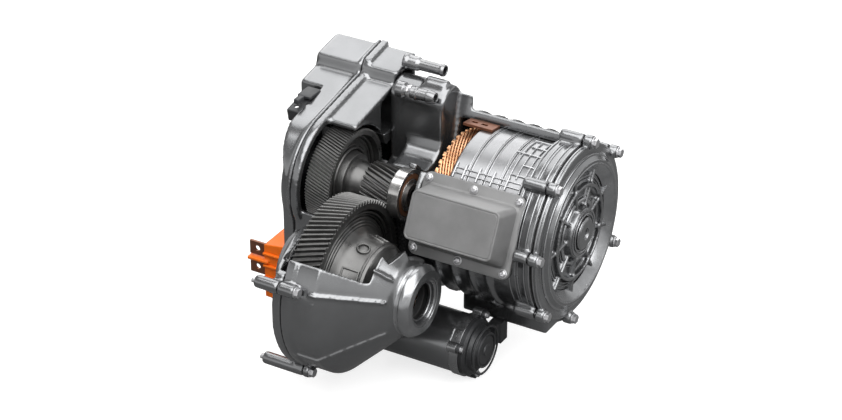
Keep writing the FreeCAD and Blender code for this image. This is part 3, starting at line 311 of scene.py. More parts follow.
def plain_metal(name, colour, rough=(0.25, 0.4), metallic=0.9, edge_highlight_and_wear=1.5):
    """Rolled or plated metal with faint marks."""
    finish = Finish(name)
    clouds = finish.noise(45.0, 4.0, 0.6)
    fine = finish.noise(1400.0, 3.0, 0.7)
    rounded = finish.rounded(sizes().edge_round * 0.4)
    normal = finish.bump(fine, 0.00002, 0.3, rounded)
    # the coat paints a highlight on the edges
    return finish.coat(clouds, colour, (0.85, 1.15), edge_highlight_and_wear, rough, rounded, Normal=normal, Metallic=metallic)


def winding_finish(name, colour):
    """Enamelled copper: warm and glossy."""
    finish = Finish(name)
    clouds = finish.noise(90.0, 3.0, 0.6)
    rounded = finish.rounded(0.0007)
    lacquer = {"Metallic": 0.85, "Coat_Weight": 0.35, "Coat_Roughness": 0.15}
    tones = (0.72, 1.15, 0.3, 0.72)
    # the coat paints a highlight on the bars' edges
    return finish.coat(clouds, colour, tones, 1.35, (0.24, 0.38), rounded, Normal=rounded, **lacquer)


def moulded_finish(name, colour, rough=(0.42, 0.58), grain=2200.0, depth=0.00012, edge_highlight_and_wear=1.6, metallic=0.0):
    """Moulded or painted surface with a fine even texture."""
    finish = Finish(name)
    clouds = finish.noise(25.0, 3.0, 0.6)
    fine = finish.add("ShaderNodeTexVoronoi", {"Vector": finish.place, "Scale": grain}).outputs["Distance"]
    rounded = finish.rounded(sizes().edge_round * 0.7)
    normal = finish.bump(fine, depth, 0.5, rounded)
    # the coat paints a highlight on the edges
    return finish.coat(clouds, colour, (0.88, 1.1), edge_highlight_and_wear, rough, rounded, Normal=normal, Metallic=metallic)


def lamination_finish(name, colour):
    """Stacked sheets, seen as fine lines across the shaft."""
    finish = Finish(name)
    lines = finish.add(
        "ShaderNodeTexWave",
        {"Vector": finish.place, "Scale": 450.0, "Distortion": 0.2, "Detail": 1.0},
        wave_type="BANDS",
        bands_direction="X",
    ).outputs["Fac"]
    finish.set(
        Base_Color=finish.tone(lines, colour, 0.6, 1.2, start=0.2, end=0.6),
        Roughness=finish.between(finish.noise(80.0), 0.3, 0.5, 0.3, 0.7),
        Normal=finish.bump(lines, 0.0002, 0.5),
        Metallic=0.8,
    )
    return finish.material


FINISHES = {}


def make_finishes():
    """Makes every finish once, from the colours of the open scene."""
    c = colours()
    # each cast finish's last number and the other finishes' edge factors paint highlights on the edges,
    # partly standing for edge wear
    FINISHES.update(
        cast=cast_finish("cast_aluminium", c.cast),
        cast_smooth=cast_finish(
            "cast_aluminium_smooth", shade(c.cast, 1.1), 1500.0, 0.93, (0.17, 0.27), 2.6
        ),
        jacket=cast_finish("jacket_aluminium", c.jacket, 1500.0, 0.94, (0.24, 0.34), 2.2),
        machined_motor=machined_finish("machined_round_motor", c.machined, MOTOR),
        machined_output=machined_finish("machined_round_output", c.machined, DIFFERENTIAL),
        gear=gear_finish("gear_steel", c.gear),
        shaft=plain_metal("shaft_steel", c.shaft),
        bearing=machined_finish("bearing_steel", c.bearing, INTERMEDIATE, 0.95, (0.12, 0.24)),
        cage=plain_metal("bearing_cage", c.cage, (0.3, 0.45), 0.8),
        trim=plain_metal("jacket_trim", shade(c.jacket, 1.5), (0.22, 0.32), 0.9),
        ridge=plain_metal("ridge_aluminium", shade(c.cast, 1.4), (0.2, 0.28), 0.93, edge_highlight_and_wear=1.8),
        tube=plain_metal("tube_aluminium", shade(c.machined, 0.85), (0.22, 0.3), 0.92),
        screw=plain_metal("screw_steel", c.screw),
        winding=winding_finish("winding_copper", c.winding),
        busbar=plain_metal("busbar_copper", c.busbar, (0.3, 0.42), 0.85),
        orange=moulded_finish("orange_plastic", c.orange, edge_highlight_and_wear=1.25),
        plastic=moulded_finish("dark_plastic", c.plastic, edge_highlight_and_wear=2.6),
        cover=moulded_finish("grey_cover_paint", c.cover, (0.38, 0.5), 1300.0, 0.0002, 1.3, 0.3),
        pump=moulded_finish("dark_pump_paint", c.pump, (0.34, 0.48), 1500.0, 0.0002, 3.0, 0.4),
        rubber=moulded_finish("seal_rubber", (0.02, 0.02, 0.02), (0.5, 0.65)),
        lamination=lamination_finish("lamination_steel", (0.16, 0.16, 0.165)),
        magnet=plain_metal("magnet", (0.05, 0.05, 0.055), (0.4, 0.55), 0.6),
    )


# the nodes of each finish; the other nodes are bearings and screws
FINISH_NODES = {
    "cast": ("gearbox_cover", "gearbox_housing", "differential_housing", "motor_housing"),
    "cast_smooth": ("motor_end_cover", "resolver_cap", "coolant_outlet"),
    "jacket": ("stator_jacket",),
    "cover": ("terminal_cover",),
    "rubber": ("terminal_gasket", "end_cover_gasket", "output_seals"),
    "gear": (
        "ring_gear",
        "intermediate_gear",
        "intermediate_shaft",
        "differential_carrier",
        "planet_gear_upper",
        "planet_gear_lower",
    ),
    "shaft": ("rotor_shaft", "side_gear_left", "side_gear_right", "oil_pump_rotor"),
    "bearing": ("differential_pin",),
    "lamination": ("stator_core", "rotor_core"),
    "magnet": ("rotor_magnets",),
    "machined_motor": ("rotor_end_plates",),
    "busbar": ("winding_bracket", "hv_busbars"),
    "orange": ("hv_connector",),
    "plastic": ("signal_connector", "oil_pump_connector"),
    "pump": ("oil_pump_cover",),
    "machined_output": ("oil_pump_flange",),
    "tube": ("coolant_inlet",),
    "winding": ("stator_winding_left", "stator_winding_right"),
}
NODE_FINISHES = {node: finish for finish, nodes in FINISH_NODES.items() for node in nodes}

# the castings' remesh cells in millimetres and how often they are smoothed
CAST_NODES = {
    "gearbox_cover": (1.7, 20),
    "gearbox_housing": (2.0, 14),
    "differential_housing": (1.95, 7),
    "motor_housing": (2.65, 4),
    "motor_end_cover": (1.6, 3),
    "hv_connector": (1.3, 3),
    "signal_connector": (1.0, 1),
    "coolant_inlet": (0.9, 2),
    "oil_pump_connector": (1.0, 1),
}


def finish_of(node):
    """The finish's name for a CAD node."""
    if node in NODE_FINISHES:
        return NODE_FINISHES[node]
    if "bearing" in node:
        return "bearing"
    return "screw"


def smoothing_group():
    """Modifier nodes that join a solid's loose triangles and shade it smooth up to an angle."""
    group = bpy.data.node_groups.new("smooth_below_angle", "GeometryNodeTree")
    for direction in ("INPUT", "OUTPUT"):
        group.interface.new_socket("Geometry", in_out=direction, socket_type="NodeSocketGeometry")
    nodes = Nodes(group)
    solid = nodes.add("NodeGroupInput").outputs[0]
    merged = nodes.add("GeometryNodeMergeByDistance", {"Geometry": solid, "Distance": 0.00001})
    angle = nodes.add("GeometryNodeInputMeshEdgeAngle").outputs["Unsigned Angle"]
    limits = {0: angle, 1: math.radians(28.0)}
    sharp = nodes.add("FunctionNodeCompare", limits, operation="GREATER_THAN").outputs["Result"]
    skin = {"Geometry": merged.outputs["Geometry"]}
    smooth = nodes.add("GeometryNodeSetShadeSmooth", skin, domain="FACE").outputs["Geometry"]
    creases = {"Geometry": smooth, "Selection": sharp, "Shade Smooth": False}
    creased = nodes.add("GeometryNodeSetShadeSmooth", creases, domain="EDGE")
    nodes.add("NodeGroupOutput", {0: creased.outputs["Geometry"]})
    return group


def new_piece(name, bm, finish, body, replaces=(), smooth=30.0):
    """Makes a mesh piece of a bmesh, gives it its finish and lets it ride on its body."""
    bmesh.ops.remove_doubles(bm, verts=bm.verts, dist=SAME_PLACE)
    bmesh.ops.recalc_face_normals(bm, faces=bm.faces)
    limit = math.radians(smooth)
    for face in bm.faces:
        face.smooth = True
    for edge in bm.edges:
        edge.smooth = len(edge.link_faces) == 2 and edge.calc_face_angle(0.0) < limit
    mesh = bpy.data.meshes.new(name)
    bm.to_mesh(mesh)
    bm.free()
    piece = bpy.data.objects.new(name, mesh)
    bpy.context.scene.collection.objects.link(piece)
    mesh.materials.append(FINISHES[finish])
    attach(piece, body)
    if replaces:
        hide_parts(*replaces)


def stage_mesh(name, bm):
    """Makes a mesh of a bmesh that belongs to the stage."""
    mesh = bpy.data.meshes.new(name)
    bm.to_mesh(mesh)
    bm.free()
    item = bpy.data.objects.new(name, mesh)
    bpy.context.scene.collection.objects.link(item)
    return item


def bevel(bm, edges, offset, segments=3):
    """Rounds edges; the offset is in millimetres."""
    bmesh.ops.bevel(
        bm,
        geom=list(edges),
        offset=offset * MM,
        offset_type="OFFSET",
        segments=segments,
        profile=0.5,
        affect="EDGES",
        clamp_overlap=True,
        material=-1,
    )


def add_shape(bm, shape, matrix=Matrix()):
    """Puts a shape in its place and adds it to a piece."""
    mesh = bpy.data.meshes.new("shape")
    shape.to_mesh(mesh)
    shape.free()
    mesh.transform(matrix)
    bm.from_mesh(mesh)
    bpy.data.meshes.remove(mesh)


def rounded_box(width, depth, height, corner=0.0, edge=0.0, steps=5):
    """A box on the plane z = 0, in millimetres, with rounded upright edges and a rounded top edge."""
    shape = bmesh.new()
    size = Matrix.Diagonal((width * MM, depth * MM, height * MM, 1.0))
    bmesh.ops.create_cube(shape, size=1.0, matrix=size @ Matrix.Translation((0.0, 0.0, 0.5)))
    top = height * MM - SAME_PLACE
    if corner:
        upright = [e for e in shape.edges if (e.verts[0].co.z > top) != (e.verts[1].co.z > top)]
        bevel(shape, upright, corner, steps)
    if edge:
        bevel(shape, [e for e in shape.edges if min(v.co.z for v in e.verts) > top], edge, 2)
    return shape


def turned(profile, steps=64, turn=360.0, start=0.0):
    """A closed profile of (x, radius) points in millimetres, turned round the x axis."""
    shape = bmesh.new()
    verts = [shape.verts.new((x * MM, radius * MM, 0.0)) for x, radius in profile]
    edges = [shape.edges.new(pair) for pair in zip(verts, verts[1:] + verts[:1])]
    whole = turn >= 360.0
    if not whole:
        shape.faces.new(verts)
    bmesh.ops.spin(
        shape,
        geom=verts + edges + list(shape.faces),
        cent=(0.0, 0.0, 0.0),
        axis=(1.0, 0.0, 0.0),
        angle=math.radians(turn),
        steps=steps,
        use_merge=whole,
    )
    bmesh.ops.rotate(shape, verts=shape.verts, matrix=Matrix.Rotation(math.radians(start), 3, "X"))
    return shape


def bead_profile(x, radius, width, height, inner=2.0):
    """The profile of a ring with a rounded crown, from below the surface up to its height."""
    half = width / 2
    return [
        (x - half, radius - inner),
        (x - half, radius + height * 0.35),
        (x - half * 0.6, radius + height * 0.85),
        (x, radius + height),
        (x + half * 0.6, radius + height * 0.85),
        (x + half, radius + height * 0.35),
        (x + half, radius - inner),
    ]


def face_step(x, low, high, height, chamfer):
    """The profile of a turned step on a flat face at x; the chamfer is a share of its width."""
    inset = (high - low) * chamfer
    return [
        (x - 1, low),
        (x + height * 0.7, low),
        (x + height, low + inset),
        (x + height, high - inset),
        (x + height * 0.7, high),
        (x - 1, high),
    ]


def shift(x=0.0, y=0.0, z=0.0):
    """A move in millimetres."""
    return Matrix.Translation((x * MM, y * MM, z * MM))


def round_x(degrees):
    """A turn round the x axis."""
    return Matrix.Rotation(math.radians(degrees), 4, "X")


def place_at(origin, x_axis, y_axis, z_axis):
    """The matrix of a local frame."""
    turn = Matrix((x_axis, y_axis, z_axis)).transposed().to_4x4()
    return Matrix.Translation(origin) @ turn


def pan_screw(radius, height, recess):
    """A pan-head screw with a washer and a cross recess, on the plane z = 0."""
    shape = bmesh.new()
    outline = [
        (0.0, height),
        (radius * 0.45, height * 0.97),
        (radius * 0.7, height * 0.78),
        (radius * 0.84, height * 0.42),
        (radius * 0.84, height * 0.3),
        (radius, height * 0.28),
        (radius, 0.0),
    ]
    verts = [shape.verts.new((r * MM, 0.0, z * MM)) for r, z in outline]
    edges = [shape.edges.new(pair) for pair in zip(verts, verts[1:])]
    whole_turn = {"cent": (0, 0, 0), "axis": (0, 0, 1), "angle": math.tau, "use_merge": True}
    bmesh.ops.spin(shape, geom=verts + edges, steps=20, **whole_turn)
    bmesh.ops.remove_doubles(shape, verts=shape.verts, dist=SAME_PLACE)
    half, reach = radius * 0.13 * MM, radius * 0.5 * MM
    for normal in ((1, 0, 0), (0, 1, 0)):
        for offset in (-reach, -half, half, reach):
            geom = list(shape.verts) + list(shape.edges) + list(shape.faces)
            bmesh.ops.bisect_plane(shape, geom=geom, plane_co=Vector(normal) * offset, plane_no=normal)
    slot = []
    for face in shape.faces:
        c = face.calc_center_median()
        in_cross = (abs(c.x) < half and abs(c.y) < reach) or (abs(c.y) < half and abs(c.x) < reach)
        if in_cross and c.z > height * 0.5 * MM:
            slot.append(face)
    sunk = bmesh.ops.extrude_face_region(shape, geom=slot)["geom"]
    bmesh.ops.delete(shape, geom=slot, context="FACES")
    bottom = [v for v in sunk if isinstance(v, bmesh.types.BMVert)]
    bmesh.ops.translate(shape, verts=bottom, vec=(0.0, 0.0, -recess * MM))
    return shape


class DRIVE_OT_stage(bpy.types.Operator):
    """Set the camera, the soft studio light and the pale floor"""

    bl_idname = "drive_unit.stage"
    bl_label = "Stage"

    def execute(self, context):
        scene = context.scene
        scene.view_settings.view_transform = "Standard"
        camera_data = bpy.data.cameras.new("camera")
        camera_data.sensor_width = 36.0
        camera_data.lens = 106.9
        camera_data.clip_start = 0.1
        camera_data.clip_end = 60.0
        camera = bpy.data.objects.new("camera", camera_data)
        scene.collection.objects.link(camera)
        # the camera stands to the right and in front, and looks down by 30 degrees
        right = Vector((0.8660254, 0.5, 0.0))
        up = Vector((-0.25, 0.4330127, 0.8660254))
        camera.matrix_world = place_at((1.4797, -2.57306, 1.86368), right, up, right.cross(up))
        scene.camera = camera
        self.add_world(scene)
        self.add_floor()
        self.add_lamp(scene, "key", (-1.05, 1.75, 1.75), 2.2, 38.0)
        self.add_lamp(scene, "top", (0.5, -0.75, 2.5), 3.9, 175.0)
        self.add_lamp(scene, "side", (2.4, 0.3, 1.3), 1.0, 14.0)
        return {"FINISHED"}

    def add_world(self, scene):
        """White where the background shows, a dim ceiling above it, and an even grey for light."""
        world = bpy.data.worlds.new("studio")
        world.use_nodes = True
        scene.world = world
        nodes = Nodes(world.node_tree)
        background = world.node_tree.nodes["Background"].inputs
        background["Color"].default_value = (1.0, 1.0, 1.0, 1.0)
        way = nodes.add("ShaderNodeTexCoord").outputs["Generated"]
        height = nodes.add("ShaderNodeSeparateXYZ", {0: way}).outputs["Z"]
        ceiling = nodes.between(height, 1.0, 0.3, 0.3, 0.62, interpolation_type="SMOOTHSTEP")
        path = nodes.add("ShaderNodeLightPath").outputs
        seen = nodes.sum(path["Is Camera Ray"], path["Is Transmission Ray"], "MAXIMUM")
        shown = nodes.sum(seen, path["Is Glossy Ray"], "MAXIMUM")
        nodes.plug(background["Strength"], nodes.between(shown, 0.16, ceiling))

    def add_floor(self):
        """A wide pale floor under the lowest point."""
        finish = Finish("floor_paint")
        paper = finish.noise(3.0, 3.0)
        colour = colours().floor
        path = finish.add("ShaderNodeLightPath").outputs
        shown = finish.sum(path["Is Camera Ray"], path["Is Transmission Ray"], "MAXIMUM")
        mirrored = finish.sum(path["Is Glossy Ray"], 0.1, "MULTIPLY")
        seen = finish.sum(shown, mirrored, "MAXIMUM")
        finish.set(
            Base_Color=finish.mix(seen, shade(colour, 0.1), finish.tone(paper, colour, 0.54, 0.56)),
            Roughness=0.9,
            Specular_IOR_Level=0.0,
            Emission_Color=(1.0, 1.0, 1.0, 1.0),
            Emission_Strength=finish.between(seen, 0.0, 0.74),
        )
        bm = bmesh.new()
        bmesh.ops.create_grid(bm, x_segments=2, y_segments=2, size=14.0)
        bmesh.ops.translate(bm, verts=bm.verts, vec=(0.0, 0.0, cad_low.z - 0.0005))
        stage_mesh("floor", bm).data.materials.append(finish.material)

    def add_lamp(self, scene, name, place, size, power):
        """A square soft lamp that looks at the middle of the object."""
        data = bpy.data.lights.new(name, "AREA")
        data.shape = "SQUARE"
        data.size = size
        data.energy = power
        lamp = bpy.data.objects.new(name, data)
        scene.collection.objects.link(lamp)
        lamp.location = place
        aim = Vector((-0.1, 0.12, 0.05)) - lamp.location
        lamp.rotation_euler = aim.to_track_quat("-Z", "Y").to_euler()


class DRIVE_OT_solids(bpy.types.Operator):
    """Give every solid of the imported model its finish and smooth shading"""

    bl_idname = "drive_unit.solids"
    bl_label = "Solids"

    def execute(self, context):
        make_finishes()
        group = smoothing_group()
        for node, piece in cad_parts.items():
            finish = FINISHES[finish_of(node)]
            for index in range(max(1, len(piece.material_slots))):
                if piece.material_slots:
                    piece.material_slots[index].material = finish
                else:
                    piece.data.materials.append(finish)
            if node in CAST_NODES:
                self.round_casting(piece, *CAST_NODES[node])
            else:
                modifier = piece.modifiers.new("smooth", "NODES")
                modifier.node_group = group
        self.open_wall("motor_housing", place=(-84.6, 98, 52), size=(20, 92, 110), tilt=0)
        self.open_wall("differential_housing", place=(-62, 20, 53), size=(70, 100, 60), tilt=-30)
        return {"FINISHED"}

    def open_wall(self, node, place, size, tilt):
        """Cuts a window with a tilted box that isn't shown into a casting's wall."""
        bm = bmesh.new()
        turn = Matrix.Rotation(math.radians(tilt), 4, "Y")
        add_shape(bm, rounded_box(*size, corner=9), shift(*place) @ turn)
        window = stage_mesh("window_of_" + node, bm)
        window.hide_render = True
        window.display_type = "WIRE"
        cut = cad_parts[node].modifiers.new("window", "BOOLEAN")
        cut.operation = "DIFFERENCE"
        cut.solver = "EXACT"
        cut.object = window

    def round_casting(self, piece, cell, passes):
        """Rounds all corners and fillets of a cast or moulded piece."""
        remesh = piece.modifiers.new("cast_skin", "REMESH")
        remesh.mode = "VOXEL"
        remesh.voxel_size = cell * MM
        remesh.use_smooth_shade = True
        soften = piece.modifiers.new("cast_fillets", "SMOOTH")
        soften.factor = 0.5
        soften.iterations = passes


# the terminal cover: its lean, and its parts' sizes in millimetres
COVER_LEAN = math.radians(26.5)
COVER_SIZE = (163, 121, 5)
SCREW_INSET = 9
DOME_FOOT = (147, 88, 38)
DOME_FRONT = (140, 71)
COVER_UP = Vector((0.0, math.sin(COVER_LEAN), math.cos(COVER_LEAN)))
COVER_OUT = Vector((0.0, -math.cos(COVER_LEAN), math.sin(COVER_LEAN)))


def cover_frame():
    """The local frame of the terminal cover: x along the motor, z out of the cover."""
    base = Vector((16 * MM, MOTOR.y, MOTOR.z)) + COVER_OUT * HOUSING_RADIUS * MM - COVER_UP * 20 * MM
    return place_at(base, Vector((1.0, 0.0, 0.0)), COVER_UP, COVER_OUT)


class DRIVE_OT_terminal_cover(bpy.types.Operator):
    """Model the terminal cover with its groove and its cross-recess screws"""

    bl_idname = "drive_unit.terminal_cover"
    bl_label = "Terminal Cover"

    def execute(self, context):
        place = cover_frame()
        bm = bmesh.new()
        add_shape(bm, rounded_box(*COVER_SIZE, 12, 1.2), place @ shift(z=-COVER_SIZE[2]))
        add_shape(bm, self.dome(), place)
        new_piece("terminal_cover_shell", bm, "cover", "housing", ("terminal_cover",))
        bm = bmesh.new()
        screw_x, screw_y = COVER_SIZE[0] / 2 - SCREW_INSET, COVER_SIZE[1] / 2 - SCREW_INSET
        for x in (-screw_x, 0.0, screw_x):
            for y in (-screw_y, screw_y):
                spin = Matrix.Rotation(0.3 + x * 0.05 + y * 0.03, 4, "Z")
                add_shape(bm, pan_screw(6.4, 4.6, 1.8), place @ shift(x, y) @ spin)
        solids = ("terminal_cover_screws",)
        new_piece("terminal_cover_pan_screws", bm, "screw", "housing", solids, smooth=40.0)
        return {"FINISHED"}

    def dome(self):
        """The raised box with drafted walls, a crisp front edge and a fine groove inside it."""
        width, depth, height = DOME_FOOT
        shape = rounded_box(width, depth, height)
        nearly_top = (height - 0.1) * MM
        top = [v for v in shape.verts if v.co.z > nearly_top]
        bmesh.ops.scale(shape, verts=top, vec=(DOME_FRONT[0] / width, DOME_FRONT[1] / depth, 1.0))
        bmesh.ops.translate(shape, verts=top, vec=(-4.8 * MM, -1.5 * MM, 0.0))
        upright = [e for e in shape.edges if abs(e.verts[0].co.z - e.verts[1].co.z) > nearly_top]
        bevel(shape, upright, 9, 6)
        rim = [e for e in shape.edges if min(v.co.z for v in e.verts) > nearly_top]
        bevel(shape, rim, 1.3, 2)
        front = max(shape.faces, key=lambda f: f.calc_center_median().z)
        for inset, lift in ((1.3, 0.0), (0.5, -0.7), (0.5, 0.0), (0.5, 0.7)):
            bmesh.ops.inset_region(shape, faces=[front], thickness=inset * MM, depth=lift * MM)
        foot = [e for e in shape.edges if max(v.co.z for v in e.verts) < SAME_PLACE]
        low = bmesh.ops.extrude_edge_only(shape, edges=foot)["geom"]
        skirt = [v for v in low if isinstance(v, bmesh.types.BMVert)]
        bmesh.ops.scale(shape, verts=skirt, vec=(1.035, 1.05, 1.0))
        bmesh.ops.translate(shape, verts=skirt, vec=(0.0, 0.0, 0.2 * MM))
        lifted = [v for v in shape.verts if abs(v.co.z) < SAME_PLACE]
        bmesh.ops.translate(shape, verts=lifted, vec=(0.0, 0.0, 2.4 * MM))
        return shape


# the winding's bars: lengths in millimetres, the sweep in degrees a millimetre, shares of a bar's length
LAYERS = 6
FIRST_LAYER_RADIUS = 80.4
LAYER_PITCH = 4.3
SWEEP_PER_LENGTH = 1.22
SHORT_LAYERS_BY = 2.5
STRAIGHT_SHARE = 0.08
SWEPT_SHARE = 0.77
STATIONS = 8


class DRIVE_OT_windings(bpy.types.Operator):
    """Model the ends of the hairpin windings bar by bar"""

    bl_idname = "drive_unit.windings"
    bl_label = "Windings"

    def execute(self, context):
        self.winding("left", -36.0, -68.0, "stator_winding_left")
        self.winding("right", 88.0, 112.0, "stator_winding_right")
        return {"FINISHED"}

    def winding(self, side, near, far, node):
        """One slot's stack of bars, repeated in every slot round the shaft."""
        slot_shape = self.slot_bars(near, far)
        mesh = bpy.data.meshes.new("slot")
        slot_shape.to_mesh(mesh)
        slot_shape.free()
        bm = bmesh.new()
        count = sizes().slots
        for index in range(count):
            known = len(bm.verts)
            bm.from_mesh(mesh)
            bm.verts.ensure_lookup_table()
            fresh = bm.verts[known:]
            turn = Matrix.Rotation(math.tau * index / count, 3, "X")
            bmesh.ops.rotate(bm, verts=fresh, cent=(0, 0, 0), matrix=turn)
        bpy.data.meshes.remove(mesh)
        bmesh.ops.translate(bm, verts=bm.verts, vec=MOTOR)
        new_piece("hairpin_bars_" + side, bm, "winding", "housing", (node,), smooth=35.0)

    def slot_bars(self, near, far):
        """Bars above each other; every second layer sweeps the other way round the shaft."""
        shape = bmesh.new()
        away = 1.0 if far > near else -1.0
        length = abs(far - near)
        sweep = SWEEP_PER_LENGTH * length
        for layer in range(LAYERS):
            radius = FIRST_LAYER_RADIUS + layer * LAYER_PITCH
            turn = -sweep if layer % 2 else sweep
            reach = length - (0.0 if layer // 2 % 2 else SHORT_LAYERS_BY)
            bar = self.bar(reach, radius, turn)
            bmesh.ops.scale(bar, verts=bar.verts, vec=(away, 1.0, 1.0))
            add_shape(shape, bar, shift(near))
        return shape

    def bar(self, reach, radius, turn):
        """A bar along x that leaves its slot straight, sweeps round the shaft and ends in a straight tip."""
        bar = bmesh.new()
        size = Matrix.Diagonal((reach * MM, sizes().hairpin_depth, sizes().hairpin_width, 1.0))
        corner = Matrix.Translation((0.5, 0.5, 0.0))
        bmesh.ops.create_cube(bar, size=1.0, matrix=shift(y=radius) @ size @ corner)
        bevel(bar, [e for e in bar.edges if abs(e.verts[0].co.x - e.verts[1].co.x) > 1e-4], 0.8, 2)
        bevel(bar, [e for e in bar.edges if min(v.co.x for v in e.verts) > reach * MM - SAME_PLACE], 0.9, 1)
        for index in range(STATIONS):
            station = STRAIGHT_SHARE + SWEPT_SHARE * index / (STATIONS - 1)
            geom = list(bar.verts) + list(bar.edges) + list(bar.faces)
            bmesh.ops.bisect_plane(bar, geom=geom, plane_co=(reach * station * MM, 0, 0), plane_no=(1, 0, 0))
        for vert in bar.verts:
            along = min(1.0, max(0.0, (vert.co.x / MM / reach - STRAIGHT_SHARE) / SWEPT_SHARE))
            twist = Matrix.Rotation(math.radians(turn * (along - 0.5)), 3, "X")
            bmesh.ops.rotate(bar, verts=[vert], cent=(0, 0, 0), matrix=twist)
        return bar


RING_WALL_SHARE = 0.28


class DRIVE_OT_cages(bpy.types.Operator):
    """Model the brown cages of the bearings"""

    bl_idname = "drive_unit.cages"
    bl_label = "Bearing Cages"

    def execute(self, context):
        # name, centre line, start and end along it, bore and outer radius, body
        cages = (
            ("small_intermediate", INTERMEDIATE, -256, -241, 15, 31, "intermediate"),
            ("small_rotor", MOTOR, -256, -241, 15, 31, "rotor"),
            ("pinion", INTERMEDIATE, -111.6, -94.8, 18, 38, "intermediate"),
            ("rotor_left", MOTOR, -88, -74, 20, 36, "rotor"),
            ("rotor_right", MOTOR, 108, 121, 17, 33, "rotor"),
            ("differential_left", DIFFERENTIAL, -196, -178, 28, 44, "differential"),
            ("differential_right", DIFFERENTIAL, -48, -32, 28, 44, "differential"),
        )
        for name, centre, start, end, bore, outer, body in cages:
            wall = (outer - bore) * RING_WALL_SHARE
            low, high = bore + wall + 0.5, outer - wall - 0.5
            middle = (low + high) / 2
            bm = bmesh.new()
            for x, away in ((start + 0.6, 1), (end - 0.6, -1)):
                profile = [
                    (x + away * 0.5, low),
                    (x, low + 0.6),
                    (x, middle - 0.5),
                    (x + away * 0.35, middle),
                    (x, middle + 0.5),
                    (x, high - 0.6),
                    (x + away * 0.5, high),
                    (x + away * 1.1, high),
                    (x + away * 1.1, low),
                ]
                add_shape(bm, turned(profile, 48), Matrix.Translation(centre))
            new_piece("cage_" + name, bm, "cage", body)
        return {"FINISHED"}


class DRIVE_OT_motor_trim(bpy.types.Operator):
    """Model the ribs and rails of the water jacket and the turned ridges of the end cover"""

    bl_idname = "drive_unit.motor_trim"
    bl_label = "Motor Trim"

    def execute(self, context):
        self.jacket_ribs()
        self.cover_rails()
        self.end_cover_ridges()
        return {"FINISHED"}

    def cover_rails(self):
        """Two thin rails with cross ribs on the jacket, along the terminal cover's top edge."""
        bm = bmesh.new()
        place = Matrix.Translation(MOTOR)
        for angle in (130.5, 126.5):
            rail = rounded_box(110, 2.0, 3.0, 0.8, 0.8, 2)
            add_shape(bm, rail, place @ round_x(angle - 90) @ shift(24, z=JACKET_RADIUS - 0.8))
        for x in (-29, -14, 8, 31, 54, 77):
            add_shape(bm, turned(bead_profile(x, JACKET_RADIUS, 3.2, 3.6), 8, 11, 123), place)
        new_piece("cover_edge_rails", bm, "trim", "housing")

    def jacket_ribs(self):
        """Rings and a lattice of low ribs on the jacket."""
        bm = bmesh.new()
        place = Matrix.Translation(MOTOR)
        for x in (-11, -5, 15, 21, 41, 47):
            add_shape(bm, turned(bead_profile(x, JACKET_RADIUS, 1.6, 0.9), 90, 180, 20), place)
        for x, start, turn in ((53, 78, 46), (64, 84, 40), (76, 76, 50)):
            add_shape(bm, turned(bead_profile(x, JACKET_RADIUS, 2.2, 2.4), 30, turn, start), place)
        for angle, low, high in ((82, 50, 86), (92, 56, 86), (101, 42, 86), (112, 62, 86), (121, 50, 86)):
            rib = rounded_box(high - low, 2.2, 3.4, 0.9, 0.8, 2)
            add_shape(bm, rib, place @ round_x(angle - 90) @ shift((low + high) / 2, z=JACKET_RADIUS - 1))
        new_piece("jacket_ribs", bm, "trim", "housing")

    def end_cover_ridges(self):
        """Turned steps on the rim, in the dish and round the hub of the end cover."""
        bm = bmesh.new()
        place = Matrix.Translation(MOTOR)
        beads = (
            (87.5, HOUSING_RADIUS, 3.0, 1.6),
            (97, HOUSING_RADIUS, 2.2, 1.2),
            (101, HOUSING_RADIUS, 2.2, 1.2),
            (112, END_COVER_RADIUS, 2.6, 1.4),
            (119.5, END_COVER_RADIUS, 3.0, 1.6),
            (126.5, END_COVER_RADIUS, 3.0, 1.4),
            (131, 129.4, 2.0, 1.2),
            (134.6, 115.2, 2.4, 1.8),
            (139.8, 107.2, 2.0, 1.6),
        )
        for x, radius, width, height in beads:
            add_shape(bm, turned(bead_profile(x, radius, width, height), 120), place)
        throat = [
            (140.6, 101.6), (141.6, 103.6), (140.6, 105.0), (138.0, 105.0), (128.4, 90.0), (128.4, 87.5),
        ]
        add_shape(bm, turned(throat, 120), place)
        face_rings = (
            (END_COVER_FLOOR, 80.5, 83.0, 2.4),
            (END_COVER_FLOOR, 76.5, 78.3, 2.4),
            (END_COVER_FLOOR, 44.0, 50.0, 5.0),
            (END_COVER_FLOOR, 51.5, 53.5, 2.4),
            (140, 33.0, 36.0, 1.4),
            (140, 27.5, 30.0, 2.2),
        )
        for ring in face_rings:
            add_shape(bm, turned(face_step(*ring, chamfer=0.25), 120), place)
        new_piece("end_cover_ridges", bm, "ridge", "housing")


class DRIVE_OT_output_rings(bpy.types.Operator):
    """Model the turned rings in the mouth of the output collar"""

    bl_idname = "drive_unit.output_rings"
    bl_label = "Output Rings"

    def execute(self, context):
        bm = bmesh.new()
        seal = [
            (-9.5, 26.6), (-6.0, 26.6), (-5.2, 27.4), (-5.2, 28.6), (-7.0, 29.2), (-7.0, 31.4), (-9.5, 31.4),
        ]
        collar = [
            (-22.5, 50.2), (-21.0, 51.4), (-19.5, 50.4), (-15.5, 50.4), (-13.2, 53.2), (-9.0, 53.4),
            (-7.6, 53.0), (-4.0, 50.4), (-0.8, 48.4), (0.5, 47.0), (0.5, 36.4), (-0.6, 35.2),
            (-0.6, 32.4), (-2.0, 30.8), (-6.6, 30.8), (-6.6, 31.4), (-3.0, 33.0), (-3.0, 46.0),
            (-22.5, 46.0),
        ]
        for profile in (seal, collar):
            add_shape(bm, turned(profile, 72), Matrix.Translation(DIFFERENTIAL))
        new_piece("output_collar_rings", bm, "ridge", "housing")
        return {"FINISHED"}


